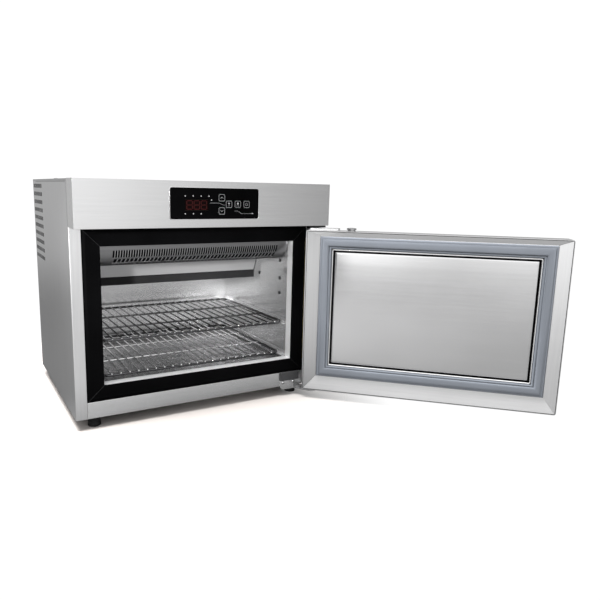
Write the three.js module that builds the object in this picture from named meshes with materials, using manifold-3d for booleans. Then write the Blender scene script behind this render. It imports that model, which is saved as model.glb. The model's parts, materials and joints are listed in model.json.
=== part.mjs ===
// Countertop food dehydrator: an insulated cabinet with a hinged door on the right,
// two wire shelves, a fan and heater duct under the cavity's ceiling, and a control fascia.
// Millimetres, +X to the right, +Y to the back, +Z up. The origin is on the table, under the
// middle of the cabinet. Inside "unit", y = 0 is the cabinet's front plane and z = 0 the
// underside of its base.
import * as THREE from "three";
import { mergeVertices } from "three/addons/utils/BufferGeometryUtils.js";
import Module from "manifold-3d";

const wasm = await Module();
wasm.setup();

// ---- Driving dimensions ----
const WIDTH = 500;
const DEPTH = 386;
const HEIGHT = 428;
const SHEET = 1.5;
const GAP = 0.3;
const HALF = WIDTH / 2;

const POST_WIDTH = 20.7;
const SILL_HEIGHT = 30.7;
const TOP_LIP = 5;
const FASCIA_BOTTOM = 346.4;
const FASCIA_FRONT = -49.7;
const MACHINE_FLOOR = 342;

const OPENING = { x: 197.5, low: 60, high: 312.5 };
const FRAME_OUTER = { x: 229, low: 31, high: 344 };
const FRAME_FRONT = -0.8;
const FRAME_BACK = 4.5;
const WALL_X = 204;
const WALL_LOW = 54;
const WALL_HIGH = 316;
const WALL_BACK = 345;
const LINER = 1;
const THROAT_BACK = 21;

const PANEL = { x: 87, low: 361.5, high: 416.5, front: -50.9, back: -49.9, radius: 4 };
const DISPLAY = { x0: -59, x1: -15.2, low: 376.7, high: 396.1 };
const KEY_SIZE = 13.4;
const KEYS = [
  { name: "key_raise", x: 11.4, z: 399.7 },
  { name: "key_lower", x: 11.4, z: 376 },
  { name: "key_mode", x: 25.8, z: 388 },
  { name: "key_timer", x: 43.8, z: 388 },
  { name: "key_power", x: 61.8, z: 388 },
];
const LIGHT_PITCH = 15.1;
const LIGHT_RADIUS = 0.9;
const UPPER_LIGHTS_Z = 402;
const LOWER_LIGHTS_Z = 370.9;
const FIRST_LIGHT_X = -58.9;
const STATUS_LIGHT = { x: -8.8, z: 395.5 };

const VENT = { rows: 10, columns: 7, top: 418, pitchZ: 16.8, height: 8, y0: 262, y1: 375 };

const DUCT = { x: 194, front: 16, low: 276, high: 311.8, back: 95, backLow: 270 };
const BAFFLE = { x0: -180, x1: 165, topY: 98, topZ: 267, footY: 111, footZ: 240.5 };
const LIP = { low: 224, high: 240 };
const FAN = { y: 205, z: 275, hub: 12, radius: 33, depth: 18, blades: 5, bore: 3.3 };

const SHELF = { x: 194, length: 292, rod: 2.5, wire: 1.5, cross: 2, wires: 21, corner: 18 };
const UPPER_SHELF = { z: 135, y: 28 };
const LOWER_SHELF = { z: 63.5, y: 40 };

const FOOT = { x: 213, front: 24, back: 358, radius: 12, height: 22 };
const LID_SCREW = { x: -244, y: 127, radius: 3, rise: 1.2 };
const REAR_SLOTS = { x: -190, z: 360, length: 26, height: 8, pitchX: 34, pitchZ: 26, columns: 8, rows: 2 };
const INLET = { x: 165, z: 372, body: [28, 22], flange: [40, 34], socket: [22, 16], depth: 26 };
const HEATER = { half: 130, y: 128, z: 284, pitch: 16, passes: 3, radius: 4 };
const PROBE = { x: 120, y: 215, low: 282, radius: 3, collar: 6, collarLow: 306 };
const BOARD = { x: 80, front: -44.2, back: -42.6, margin: 3 };

// The door is described closed and then turned about its hinge line to where it stands open.
const HINGE = { x: 234.5, y: -26.5 };
const DOOR_OPEN = THREE.MathUtils.degToRad(136);
const DOOR = { low: -2, high: 336.5, outer: -47, inner: -9, skin: 1.2, corner: 4 };
const SEAL = { x0: -223, x1: 220, low: 32.5, high: 324.5, width: 23.5, front: -1.2, back: -11.7 };
const PIN_RADIUS = 4;
const COLLAR_RADIUS = 7;
const TOP_HOLE = { radius: 6, low: 322 };
const BOTTOM_HOLE = { radius: 8, high: 13 };
const LEAF = { x0: 186, x1: 243, y0: -42, y1: -12, top: 340.9 };
const STUD = { x: 161, y: -29, radius: 10, top: 343 };
const BOTTOM_HINGE = { low: -7, high: 12.9, left: 172, thick: 2.3 };
const HINGE_SCREWS = [
  { name: "hinge_screw_left", x: 180, z: 8.6 },
  { name: "hinge_screw_right", x: 205, z: 8.6 },
];

const STEEL = { color: 0xb9babc, roughness: 0.35, metalness: 0.9 };
const POLISHED = { color: 0xd8d9da, roughness: 0.15, metalness: 1 };
const WIRE = { color: 0xcfd0d2, roughness: 0.2, metalness: 1 };
const BLACK = { color: 0x0b0b0c, roughness: 0.5, metalness: 0 };
const GLOSS = { color: 0x060608, roughness: 0.1, metalness: 0 };
const FOAM = { color: 0xd8c88c, roughness: 0.95, metalness: 0 };
const RUBBER = { color: 0x141414, roughness: 0.8, metalness: 0 };
const SEAL_GREY = { color: 0x9196a2, roughness: 0.6, metalness: 0 };
const DARK_METAL = { color: 0x3a3b3d, roughness: 0.45, metalness: 0.6 };
const BOARD_GREEN = { color: 0x1d5a35, roughness: 0.6, metalness: 0 };

// ---- Shape helpers ----

function box(x0, x1, y0, y1, z0, z1) {
  const geometry = new THREE.BoxGeometry(x1 - x0, y1 - y0, z1 - z0);
  return geometry.translate((x0 + x1) / 2, (y0 + y1) / 2, (z0 + z1) / 2);
}

function pathOf(points, Kind = THREE.Path) {
  return new Kind(points.map(([u, v]) => new THREE.Vector2(u, v)));
}

function rectangle(u0, u1, v0, v1) {
  return [[u0, v0], [u1, v0], [u1, v1], [u0, v1]];
}

function circle(u, v, radius, sides) {
  const points = [];
  for (let i = 0; i < sides; i += 1) {
    const angle = ((i + 0.5) / sides) * Math.PI * 2;
    points.push([u + radius * Math.cos(angle), v + radius * Math.sin(angle)]);
  }
  return points;
}

// A flat outline given thickness, with holes cut right through it.
function extrude(outline, holes, depth) {
  const settings = { bevelEnabled: false, steps: 1 };
  const sheet = new THREE.ExtrudeGeometry(pathOf(outline, THREE.Shape), { ...settings, depth });
  if (holes.length === 0) return sheet;
  const punches = holes.map((hole) => {
    const shape = pathOf(hole, THREE.Shape);
    return new THREE.ExtrudeGeometry(shape, { ...settings, depth: depth + 2 }).translate(0, 0, -1);
  });
  return cut(sheet, ...punches);
}

// Outline in (x, y), from z0 to z1.
function slabZ(outline, z0, z1, holes = []) {
  return extrude(outline, holes, z1 - z0).translate(0, 0, z0);
}

// Outline in (x, z), from y0 to y1.
function slabY(outline, y0, y1, holes = []) {
  return extrude(outline, holes, y1 - y0).rotateX(Math.PI / 2).translate(0, y1, 0);
}

// Outline in (y, z), from x0 to x1.
function slabX(outline, x0, x1, holes = []) {
  const turn = new THREE.Matrix4().makeBasis(
    new THREE.Vector3(0, 1, 0),
    new THREE.Vector3(0, 0, 1),
    new THREE.Vector3(1, 0, 0),
  );
  return extrude(outline, holes, x1 - x0).applyMatrix4(turn).translate(x0, 0, 0);
}

function cylinderZ(x, y, radius, z0, z1, sides = 20) {
  return slabZ(circle(x, y, radius, sides), z0, z1);
}

function cylinderY(x, z, radius, y0, y1, sides = 20) {
  return slabY(circle(x, z, radius, sides), y0, y1);
}

// Turns a geometry's faces round if they point inwards.
function facingOut(geometry) {
  const position = geometry.attributes.position;
  const index = geometry.index.array;
  const [a, b, c] = [new THREE.Vector3(), new THREE.Vector3(), new THREE.Vector3()];
  let volume = 0;
  for (let i = 0; i < index.length; i += 3) {
    a.fromBufferAttribute(position, index[i]);
    b.fromBufferAttribute(position, index[i + 1]);
    c.fromBufferAttribute(position, index[i + 2]);
    volume += a.dot(b.cross(c));
  }
  if (volume < 0) {
    for (let i = 0; i < index.length; i += 3) {
      [index[i + 1], index[i + 2]] = [index[i + 2], index[i + 1]];
    }
  }
  return geometry;
}

function indexed(points, triangles) {
  const geometry = new THREE.BufferGeometry();
  geometry.setAttribute("position", new THREE.Float32BufferAttribute(points.flat(), 3));
  geometry.setIndex(triangles);
  return facingOut(geometry);
}

// Sweeps a closed section of [offset, height] points round a closed flat loop with mitred
// corners. The loop runs anticlockwise in (u, v), offsets point out of it, and place turns
// (u, v, height) into (x, y, z).
function sweepLoop(loop, section, place) {
  const points = [];
  const triangles = [];
  const around = section.length;
  loop.forEach(([u, v], i) => {
    const before = loop[(i + loop.length - 1) % loop.length];
    const after = loop[(i + 1) % loop.length];
    const [n1, n2] = [edgeNormal(before, [u, v]), edgeNormal([u, v], after)];
    const scale = 1 / (1 + n1[0] * n2[0] + n1[1] * n2[1]);
    const mitre = [(n1[0] + n2[0]) * scale, (n1[1] + n2[1]) * scale];
    for (const [offset, height] of section) {
      points.push(place(u + mitre[0] * offset, v + mitre[1] * offset, height));
    }
  });
  for (let i = 0; i < loop.length; i += 1) {
    const j = (i + 1) % loop.length;
    for (let k = 0; k < around; k += 1) {
      const l = (k + 1) % around;
      const corners = [i * around + k, j * around + k, j * around + l, i * around + l];
      triangles.push(corners[0], corners[1], corners[2], corners[0], corners[2], corners[3]);
    }
  }
  return indexed(points, triangles);
}

function edgeNormal([u0, v0], [u1, v1]) {
  const length = Math.hypot(u1 - u0, v1 - v0);
  return [(v1 - v0) / length, -(u1 - u0) / length];
}

// A bar between two end sections that have the same number of points.
function loft(first, last, section) {
  const count = first.length;
  const triangles = [];
  for (let k = 0; k < count; k += 1) {
    const l = (k + 1) % count;
    triangles.push(k, count + k, count + l, k, count + l, l);
  }
  const flat = section.map(([u, v]) => new THREE.Vector2(u, v));
  const turn = THREE.ShapeUtils.area(flat);
  for (const [i, j, k] of THREE.ShapeUtils.triangulateShape(flat, [])) {
    const own = THREE.ShapeUtils.area([flat[i], flat[j], flat[k]]);
    const [a, b, c] = own * turn > 0 ? [i, j, k] : [i, k, j];
    triangles.push(a, b, c, count + a, count + c, count + b);
  }
  return indexed([...first, ...last], triangles);
}

function solidOf(geometry) {
  const bare = geometry.clone();
  bare.deleteAttribute("normal");
  bare.deleteAttribute("uv");
  const merged = mergeVertices(bare, 1e-4);
  return new wasm.Manifold(
    new wasm.Mesh({
      numProp: 3,
      vertProperties: new Float32Array(merged.attributes.position.array),
      triVerts: new Uint32Array(merged.index.array),
    }),
  );
}

function geometryOf(solid) {
  const mesh = solid.getMesh();
  const geometry = new THREE.BufferGeometry();
  geometry.setAttribute("position", new THREE.BufferAttribute(mesh.vertProperties, 3));
  geometry.setIndex(new THREE.BufferAttribute(mesh.triVerts, 1));
  return geometry;
}

function join(...geometries) {
  return geometryOf(geometries.map(solidOf).reduce((whole, next) => whole.add(next)));
}

function cut(geometry, ...tools) {
  return geometryOf(tools.map(solidOf).reduce((whole, next) => whole.subtract(next), solidOf(geometry)));
}

function piece(name, geometry, look) {
  geometry.deleteAttribute("uv");
  geometry.computeVertexNormals();
  const material = new THREE.MeshStandardMaterial({ ...look, flatShading: true });
  const mesh = new THREE.Mesh(geometry, material);
  mesh.name = name;
  return mesh;
}

// ---- Cabinet shell ----

function ventHoles() {
  const holes = [];
  const pitch = (VENT.y1 - VENT.y0) / VENT.columns;
  for (let row = 0; row < VENT.rows; row += 1) {
    const top = VENT.top - row * VENT.pitchZ;
    for (let column = 0; column < VENT.columns; column += 1) {
      const start = VENT.y0 + column * pitch;
      holes.push(rectangle(start, start + pitch * 0.7, top - VENT.height, top));
    }
  }
  return holes;
}

// Side sheet with its front edge folded inwards as the post beside the opening.
function sidePanel(name, side) {
  const [outer, inner] = [side * HALF, side * (HALF - SHEET)];
  const top = HEIGHT - TOP_LIP - GAP;
  const [x0, x1] = [Math.min(outer, inner), Math.max(outer, inner)];
  const wall = slabX(rectangle(0, DEPTH, 0, top), x0, x1, ventHoles());
  const postEdge = side * (HALF - POST_WIDTH);
  const post = box(Math.min(outer, postEdge), Math.max(outer, postEdge), 0, SHEET, 0, top);
  return piece(name, join(wall, post), STEEL);
}

// Shallow lid whose lips hang over the side and rear sheets.
function topPanel() {
  const lid = box(-HALF, HALF, 0, DEPTH, HEIGHT - TOP_LIP, HEIGHT);
  const hollow = box(-HALF + 1, HALF - 1, -1, DEPTH - 1, HEIGHT - TOP_LIP - 1, HEIGHT - SHEET);
  const { x, y, radius, rise } = LID_SCREW;
  const screw = cylinderZ(x, y, radius, HEIGHT - 0.5, HEIGHT + rise, 10);
  return piece("top_panel", join(cut(lid, hollow), screw), STEEL);
}

// Rectangle about the mains inlet's middle, grown by an edge all round.
function inletOutline([width, height], edge) {
  const { x, z } = INLET;
  const [halfX, halfZ] = [width / 2 + edge, height / 2 + edge];
  return rectangle(x - halfX, x + halfX, z - halfZ, z + halfZ);
}

function rearPanel() {
  const inside = HALF - SHEET - GAP;
  const slots = [];
  for (let row = 0; row < REAR_SLOTS.rows; row += 1) {
    for (let column = 0; column < REAR_SLOTS.columns; column += 1) {
      const x = REAR_SLOTS.x + column * REAR_SLOTS.pitchX;
      const z = REAR_SLOTS.z + row * REAR_SLOTS.pitchZ;
      slots.push(rectangle(x, x + REAR_SLOTS.length, z, z + REAR_SLOTS.height));
    }
  }
  const inlet = inletOutline(INLET.body, 1);
  const sheet = rectangle(-inside, inside, 0, HEIGHT - TOP_LIP - GAP);
  return piece("rear_panel", slabY(sheet, DEPTH - SHEET, DEPTH, [...slots, inlet]), STEEL);
}

function basePan() {
  const inside = HALF - SHEET - GAP;
  const floor = box(-inside, inside, SHEET + GAP, DEPTH - SHEET - GAP, 0, SHEET);
  return piece("base_pan", floor, STEEL);
}

// Bar under the opening: a face with a short flange folded back along its top.
function frontSill() {
  const end = HALF - POST_WIDTH - GAP;
  const face = [
    [0, 0],
    [SHEET, 0],
    [SHEET, SILL_HEIGHT - SHEET],
    [12, SILL_HEIGHT - SHEET],
    [12, SILL_HEIGHT],
    [0, SILL_HEIGHT],
  ];
  return piece("front_sill", slabX(face, -end, end), STEEL);
}

// Deep control housing over the door, open at its back.
function fasciaShell() {
  const back = -GAP;
  const shell = box(-HALF, HALF, FASCIA_FRONT, back, FASCIA_BOTTOM, HEIGHT + 0.5);
  const hollow = box(
    -HALF + SHEET,
    HALF - SHEET,
    FASCIA_FRONT + SHEET,
    back + 1,
    FASCIA_BOTTOM + SHEET,
    HEIGHT + 0.5 - SHEET,
  );
  const window = box(
    -PANEL.x + 4,
    PANEL.x - 4,
    FASCIA_FRONT - 1,
    FASCIA_FRONT + SHEET + 1,
    PANEL.low + 4,
    PANEL.high - 4,
  );
  return piece("fascia_shell", cut(shell, hollow, window), STEEL);
}

function foot(name, x, y) {
  const { radius, height } = FOOT;
  const profile = [
    [0, -height],
    [radius - 2, -height],
    [radius, -height + 3],
    [radius - 1.5, -GAP],
    [0, -GAP],
  ];
  const points = profile.map(([r, z]) => new THREE.Vector2(r, z));
  const geometry = new THREE.LatheGeometry(points, 16).rotateX(Math.PI / 2);
  const mesh = piece(name, facingOut(mergedFrom(geometry)), RUBBER);
  mesh.position.set(x, y, 0);
  return mesh;
}

function mergedFrom(geometry) {
  geometry.deleteAttribute("normal");
  geometry.deleteAttribute("uv");
  return mergeVertices(geometry, 1e-4);
}

// ---- Frame round the opening ----

// Section of one strip as [distance out from the opening, y].
function stripSection() {
  const width = FRAME_OUTER.x - OPENING.x;
  return [
    [0, 1.2],
    [0, 0.4],
    [1.2, FRAME_FRONT],
    [width - 6, FRAME_FRONT],
    [width - 2, 0.4],
    [width, 2.8],
    [width, FRAME_BACK],
    [1.4, FRAME_BACK],
    [1.4, 1.2],
  ];
}

// Strip between two neighbouring corners of the opening; corners are [x sign, top?].
function breakerStrip(name, from, to) {
  const section = stripSection();
  const width = FRAME_OUTER.x - OPENING.x;
  const end = ([side, high], [otherSide, otherHigh]) =>
    section.map(([offset, y]) => {
      const share = offset / width;
      const x = OPENING.x + (FRAME_OUTER.x - OPENING.x) * share;
      const low = OPENING.low + (FRAME_OUTER.low - OPENING.low) * share;
      const top = OPENING.high + (FRAME_OUTER.high - OPENING.high) * share;
      const pullX = (Math.sign(otherSide - side) * GAP) / 2;
      const pullZ = (Math.sign(Number(otherHigh) - Number(high)) * GAP) / 2;
      return [side * x + pullX, y, (high ? top : low) + pullZ];
    });
  return piece(name, loft(end(from, to), end(to, from), section), BLACK);
}

// Polished lip just inside the opening, stepping out to the walls behind it.
function cavityThroat() {
  const section = [
    [0, 1.5],
    [LINER, 1.5],
    [LINER, THROAT_BACK - LINER],
    [7.4, THROAT_BACK - LINER],
    [7.4, THROAT_BACK],
    [0, THROAT_BACK],
  ];
  const loop = rectangle(-OPENING.x, OPENING.x, OPENING.low, OPENING.high);
  const place = (u, v, height) => [u, height, v];
  return piece("cavity_throat", sweepLoop(loop, section, place), POLISHED);
}

// ---- Cavity liner and insulation ----

function linerSheets() {
  const front = THROAT_BACK + GAP;
  const [low, high] = [WALL_LOW, WALL_HIGH];
  const side = WALL_X + LINER;
  return [
    ["liner_left_wall", box(-side, -WALL_X, front, WALL_BACK, low + GAP, high - GAP)],
    ["liner_right_wall", box(WALL_X, side, front, WALL_BACK, low + GAP, high - GAP)],
    ["liner_rear_wall", box(-side, side, WALL_BACK + GAP, WALL_BACK + GAP + LINER, low, high)],
    ["liner_floor", box(-side, side, front, WALL_BACK, low - LINER, low)],
    ["liner_ceiling", box(-side, side, front, WALL_BACK, high, high + LINER)],
  ].map(([name, geometry]) => piece(name, geometry, POLISHED));
}

// Foam beside the cavity, cut away behind the vents to leave an air channel.
function sideInsulation(name, side) {
  const outer = HALF - SHEET - GAP;
  const inner = WALL_X + LINER + GAP;
  const span = (a, b) => [Math.min(side * a, side * b), Math.max(side * a, side * b)];
  const profile = [
    [THROAT_BACK + GAP, WALL_LOW],
    [WALL_BACK, WALL_LOW],
    [WALL_BACK, 255],
    [VENT.y0 - 6, 255],
    [VENT.y0 - 6, WALL_HIGH],
    [THROAT_BACK + GAP, WALL_HIGH],
  ];
  const body = slabX(profile, ...span(inner, outer));
  const nose = box(...span(206, outer), FRAME_BACK + GAP, THROAT_BACK + 1, WALL_LOW, WALL_HIGH);
  return piece(name, join(body, nose), FOAM);
}

// One foamed piece under, behind and over the cavity.
function wrapInsulation() {
  const inside = WALL_X - 0.5;
  const [floorTop, ceiling] = [WALL_LOW - LINER - GAP, WALL_HIGH + LINER + GAP];
  const back = WALL_BACK + LINER + 2 * GAP;
  const profile = [
    [THROAT_BACK + GAP, SHEET + GAP],
    [DEPTH - SHEET - GAP, SHEET + GAP],
    [DEPTH - SHEET - GAP, MACHINE_FLOOR],
    [THROAT_BACK + GAP, MACHINE_FLOOR],
    [THROAT_BACK + GAP, ceiling],
    [back, ceiling],
    [back, floorTop],
    [THROAT_BACK + GAP, floorTop],
  ];
  return piece("insulation_wrap", slabX(profile, -inside, inside), FOAM);
}

// ---- Controls ----

function roundedRectangle(x, low, high, radius) {
  const points = [];
  const centres = [[x - radius, high - radius, 0], [-x + radius, high - radius, 1]];
  centres.push([-x + radius, low + radius, 2], [x - radius, low + radius, 3]);
  for (const [u, v, quarter] of centres) {
    for (let i = 0; i <= 3; i += 1) {
      const angle = (quarter + i / 3) * (Math.PI / 2);
      points.push([u + radius * Math.cos(angle), v + radius * Math.sin(angle)]);
    }
  }
  return points;
}

function lightPlaces() {
  const places = [[STATUS_LIGHT.x, STATUS_LIGHT.z]];
  for (let i = 0; i < 4; i += 1) places.push([FIRST_LIGHT_X + i * LIGHT_PITCH, UPPER_LIGHTS_Z]);
  for (let i = 0; i < 3; i += 1) places.push([FIRST_LIGHT_X + i * LIGHT_PITCH, LOWER_LIGHTS_Z]);
  return places;
}

function controlOverlay() {
  const hole = KEY_SIZE / 2 + GAP;
  const holes = KEYS.map(({ x, z }) => rectangle(x - hole, x + hole, z - hole, z + hole));
  const { x0, x1, low, high } = DISPLAY;
  holes.push(rectangle(x0 - GAP, x1 + GAP, low - GAP, high + GAP));
  for (const [x, z] of lightPlaces()) holes.push(circle(x, z, LIGHT_RADIUS + GAP, 6));
  const outline = roundedRectangle(PANEL.x, PANEL.low, PANEL.high, PANEL.radius);
  return piece("control_overlay", slabY(outline, PANEL.front, PANEL.back, holes), GLOSS);
}

function displayWindow() {
  const { x0, x1, low, high } = DISPLAY;
  return piece("display_window", box(x0, x1, -50.6, -45, low, high), GLOSS);
}

// Board behind the panel, with the indicator lights standing on it.
function controlBoard() {
  const { x: edge, front, back, margin } = BOARD;
  const board = box(-edge, edge, front, back, PANEL.low + margin, PANEL.high - margin);
  const lights = lightPlaces().map(([x, z]) => cylinderY(x, z, LIGHT_RADIUS, -50.5, -44, 6));
  return piece("control_board", join(board, ...lights), BOARD_GREEN);
}

function key({ name, x, z }) {
  const half = KEY_SIZE / 2;
  return piece(name, box(x - half, x + half, -51.2, -46.4, z - half, z + half), GLOSS);
}

// ---- Air duct, fan and heater under the ceiling ----

// Slotted front with a floor folded back under the fan.
function grilleCover() {
  const { x, front, low, high, back, backLow } = DUCT;
  const slots = [];
  for (let i = 0; i < 36; i += 1) {
    const u = -171 + i * 9.6;
    slots.push(rectangle(u, u + 5.6, 293, 304));
  }
  for (let i = 0; i < 18; i += 1) {
    const u = -171 + i * 18.4;
    slots.push([[u, 280], [u + 9, 280], [u + 13, 289.5], [u + 4, 289.5]]);
  }
  const face = slabY(rectangle(-x, x, low, high), front, front + 1.2, slots);
  const floor = slabX(
    [[front + 0.5, low], [back, backLow], [back, backLow + 1.2], [front + 0.5, low + 1.2]],
    -x,
    x,
  );
  return piece("grille_cover", join(face, floor), STEEL);
}

function bafflePlate() {
  const { x0, x1, topY, topZ, footY, footZ } = BAFFLE;
  const profile = [[topY, topZ], [footY, footZ], [footY + 1.3, footZ], [topY + 1.3, topZ]];
  return piece("baffle_plate", slabX(profile, x0, x1), STEEL);
}

function baffleLip() {
  const { x0, x1, footY } = BAFFLE;
  return piece("baffle_lip", box(x0, x1, footY - 0.6, footY + 3, LIP.low, LIP.high), DARK_METAL);
}

function fanMotor() {
  const { y, z } = FAN;
  const can = cylinderY(0, z, 20, y + 22, y + 60, 20);
  const shaft = cylinderY(0, z, 3, y - 2, y + 24, 12);
  const hanger = box(-14, 14, y + 34, y + 48, z + 12, WALL_HIGH - GAP);
  return piece("fan_motor", join(can, shaft, hanger), DARK_METAL);
}

// Hub bored for the shaft, with pitched blades.
function fanRotor() {
  const { y, z, hub, radius, depth, blades, bore } = FAN;
  const parts = [slabY(circle(0, 0, hub, 20), 0, depth, [circle(0, 0, bore, 12)])];
  for (let i = 0; i < blades; i += 1) {
    const blade = box(-0.8, 0.8, -depth * 0.6, depth * 0.6, hub - 1.5, radius);
    blade.rotateZ(THREE.MathUtils.degToRad(38));
    blade.translate(0, depth / 2, 0);
    blade.rotateY((i / blades) * Math.PI * 2);
    parts.push(blade);
  }
  const mesh = piece("fan_rotor", join(...parts), BLACK);
  mesh.position.set(0, y, z);
  return mesh;
}

// Heater tube bent into passes across the duct, hung from two posts.
function heaterElement() {
  const { half, z, pitch, passes, radius } = HEATER;
  const points = [];
  for (let pass = 0; pass < passes; pass += 1) {
    const side = pass % 2 === 0 ? 1 : -1;
    const y = HEATER.y + pass * pitch;
    points.push(new THREE.Vector3(-side * half, y, z), new THREE.Vector3(side * half, y, z));
    if (pass < passes - 1) points.push(new THREE.Vector3(side * (half + 9), y + pitch / 2, z));
  }
  const path = new THREE.CatmullRomCurve3(points, false, "centripetal");
  const section = pathOf(circle(0, 0, radius, 6), THREE.Shape);
  const tube = new THREE.ExtrudeGeometry(section, { steps: 44, extrudePath: path });
  const [y0, y1] = [HEATER.y - 2, HEATER.y + pitch * (passes - 1) + radius];
  const posts = [-90, 90].map((x) => box(x - 4, x + 4, y0, y1, z + 1, WALL_HIGH - GAP));
  return piece("heater_element", join(tube, ...posts), DARK_METAL);
}

function temperatureProbe() {
  const { x, y, low, radius, collar, collarLow } = PROBE;
  const stem = cylinderZ(x, y, radius, low, WALL_HIGH - GAP, 10);
  const ring = cylinderZ(x, y, collar, collarLow, WALL_HIGH - GAP, 10);
  return piece("temperature_probe", join(stem, ring), POLISHED);
}

// Socket in the rear sheet with three pins at its bottom.
function mainsInlet() {
  const { x, z, body, flange, socket, depth } = INLET;
  const rim = slabY(inletOutline(flange, 0), DEPTH + GAP, DEPTH + 2.3);
  const shell = slabY(inletOutline(body, 0), DEPTH - depth, DEPTH + 1);
  const hollow = slabY(inletOutline(socket, 0), DEPTH - depth + 6, DEPTH + 3);
  const pins = [[0, 4], [-6, -3], [6, -3]].map(([u, v]) =>
    box(x + u - 1, x + u + 1, DEPTH - depth + 4, DEPTH - 11, z + v - 2, z + v + 2));
  return piece("mains_inlet", join(cut(join(rim, shell), hollow), ...pins), BLACK);
}

// ---- Shelves ----

// Closed tube frame with wires laid across it and two cross wires under them.
function wireShelf(name, { y, z }) {
  const { x, length, rod, wire, cross, wires, corner } = SHELF;
  const loop = [];
  const centres = [[x - corner, length - corner], [-x + corner, length - corner]];
  centres.push([-x + corner, corner], [x - corner, corner]);
  centres.forEach(([u, v], quarter) => {
    for (let i = 0; i <= 3; i += 1) {
      const angle = (quarter + i / 3) * (Math.PI / 2);
      loop.push([u + corner * Math.cos(angle), v + corner * Math.sin(angle)]);
    }
  });
  const rim = sweepLoop(loop, circle(0, 0, rod, 6), (u, v, height) => [u, v, height]);
  const parts = [rim];
  const pitch = (2 * (x - corner - 2)) / (wires - 1);
  for (let i = 0; i < wires; i += 1) {
    const u = -(x - corner - 2) + i * pitch;
    parts.push(slabY(circle(u, rod + 0.4, wire, 6), -1.5, length + 1.5));
  }
  for (const share of [1 / 3, 2 / 3]) {
    const v = length * share;
    parts.push(slabX(circle(v, 0.2, cross, 6), -x, x));
  }
  const mesh = piece(name, join(...parts), WIRE);
  mesh.position.set(0, y, z);
  return mesh;
}

// Angle strip on the wall under a shelf's side rod.
function shelfRail(name, side, z) {
  const level = z - SHELF.rod - GAP;
  const [wall, tip] = [side * (WALL_X - GAP), side * (SHELF.x - 3)];
  const leg = side * (WALL_X - 1.5);
  const section = [
    [wall, level - 6],
    [wall, level + 7],
    [leg, level + 7],
    [leg, level],
    [tip, level],
    [tip, level - 1.2],
    [leg, level - 1.2],
    [leg, level - 6],
  ];
  return piece(name, slabY(section, THROAT_BACK + 4, WALL_BACK - 8), POLISHED);
}

// ---- Hinges ----

function topHingeBracket() {
  const flange = box(230, 247, -2.5, -GAP, 337.4, 345.8);
  const arm = box(222, 247, -44, -1, 342.6, 345.8);
  const collar = cylinderZ(HINGE.x, HINGE.y, COLLAR_RADIUS, 341.2, 343, 16);
  const pin = cylinderZ(HINGE.x, HINGE.y, PIN_RADIUS, TOP_HOLE.low + 4, 343, 16);
  return piece("top_hinge_bracket", join(flange, arm, collar, pin), DARK_METAL);
}

function bottomHingeBracket() {
  const { low, high, left, thick } = BOTTOM_HINGE;
  const outline = [[left + 8, low], [236, low], [236, -2.6], [222, -2.6], [222, high]];
  outline.push([left, high], [left, low + 9], [left + 2.5, low + 3]);
  const holes = HINGE_SCREWS.map(({ x, z }) => circle(x, z, 2.4, 8));
  const flange = slabY(outline, -GAP - thick, -GAP, holes);
  const front = [[204, -1], [213, -12], [222, -30], [228, -37], [236, -39.5], [247, -33]];
  const arm = slabZ([...front, [247, -1]], low, low + thick);
  const collar = cylinderZ(HINGE.x, HINGE.y, COLLAR_RADIUS, low + 1, -2.5, 16);
  const pin = cylinderZ(HINGE.x, HINGE.y, PIN_RADIUS, low + 1, 10, 16);
  return piece("bottom_hinge_bracket", join(flange, arm, collar, pin), STEEL);
}

function hingeScrew({ name, x, z }) {
  const head = cylinderY(x, z, 4, -5.2, -2.9, 12);
  const shank = cylinderY(x, z, 2, -4, -0.3, 8);
  return piece(name, join(head, shank), POLISHED);
}

function hingeSpacerBlock() {
  return piece("hinge_spacer_block", box(174, 217.5, -5.3, -GAP, 13.3, 30.4), DARK_METAL);
}

// ---- Door, drawn closed ----

function doorOuterSkin() {
  const { outer, inner, skin, corner, low, high } = DOOR;
  const tray = slabY(roundedRectangle(HALF, low, high, corner), outer, inner);
  const within = roundedRectangle(HALF - skin, low + skin, high - skin, corner - skin);
  const hollow = slabY(within, outer + skin, inner + 1);
  const bottomHole = cylinderZ(HINGE.x, HINGE.y, BOTTOM_HOLE.radius, low - 1, low + 3, 16);
  const topHole = cylinderZ(HINGE.x, HINGE.y, TOP_HOLE.radius, high - 3, high + 1, 16);
  return piece("door_outer_skin", cut(tray, hollow, bottomHole, topHole), STEEL);
}

function doorInnerFrame() {
  const { low, high, inner, skin, corner } = DOOR;
  const edge = skin + GAP;
  const outline = roundedRectangle(HALF - edge, low + edge, high - edge, corner - skin);
  const seat = rectangle(SEAL.x0 - GAP, SEAL.x1 + GAP, SEAL.low - GAP, SEAL.high + GAP);
  return piece("door_inner_frame", slabY(outline, inner - 3, inner, [seat]), STEEL);
}

function doorCore() {
  const { low, high, outer, inner, skin, corner } = DOOR;
  const edge = skin + GAP;
  const top = inner - 3 - GAP;
  const outline = roundedRectangle(HALF - edge, low + edge, high - edge, corner - skin);
  const foam = slabY(outline, outer + edge, top);
  const bottomHole = cylinderZ(HINGE.x, HINGE.y, BOTTOM_HOLE.radius, low, BOTTOM_HOLE.high, 16);
  const topHole = cylinderZ(HINGE.x, HINGE.y, TOP_HOLE.radius, TOP_HOLE.low, high, 16);
  return piece("door_core", cut(foam, bottomHole, topHole), FOAM);
}

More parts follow.
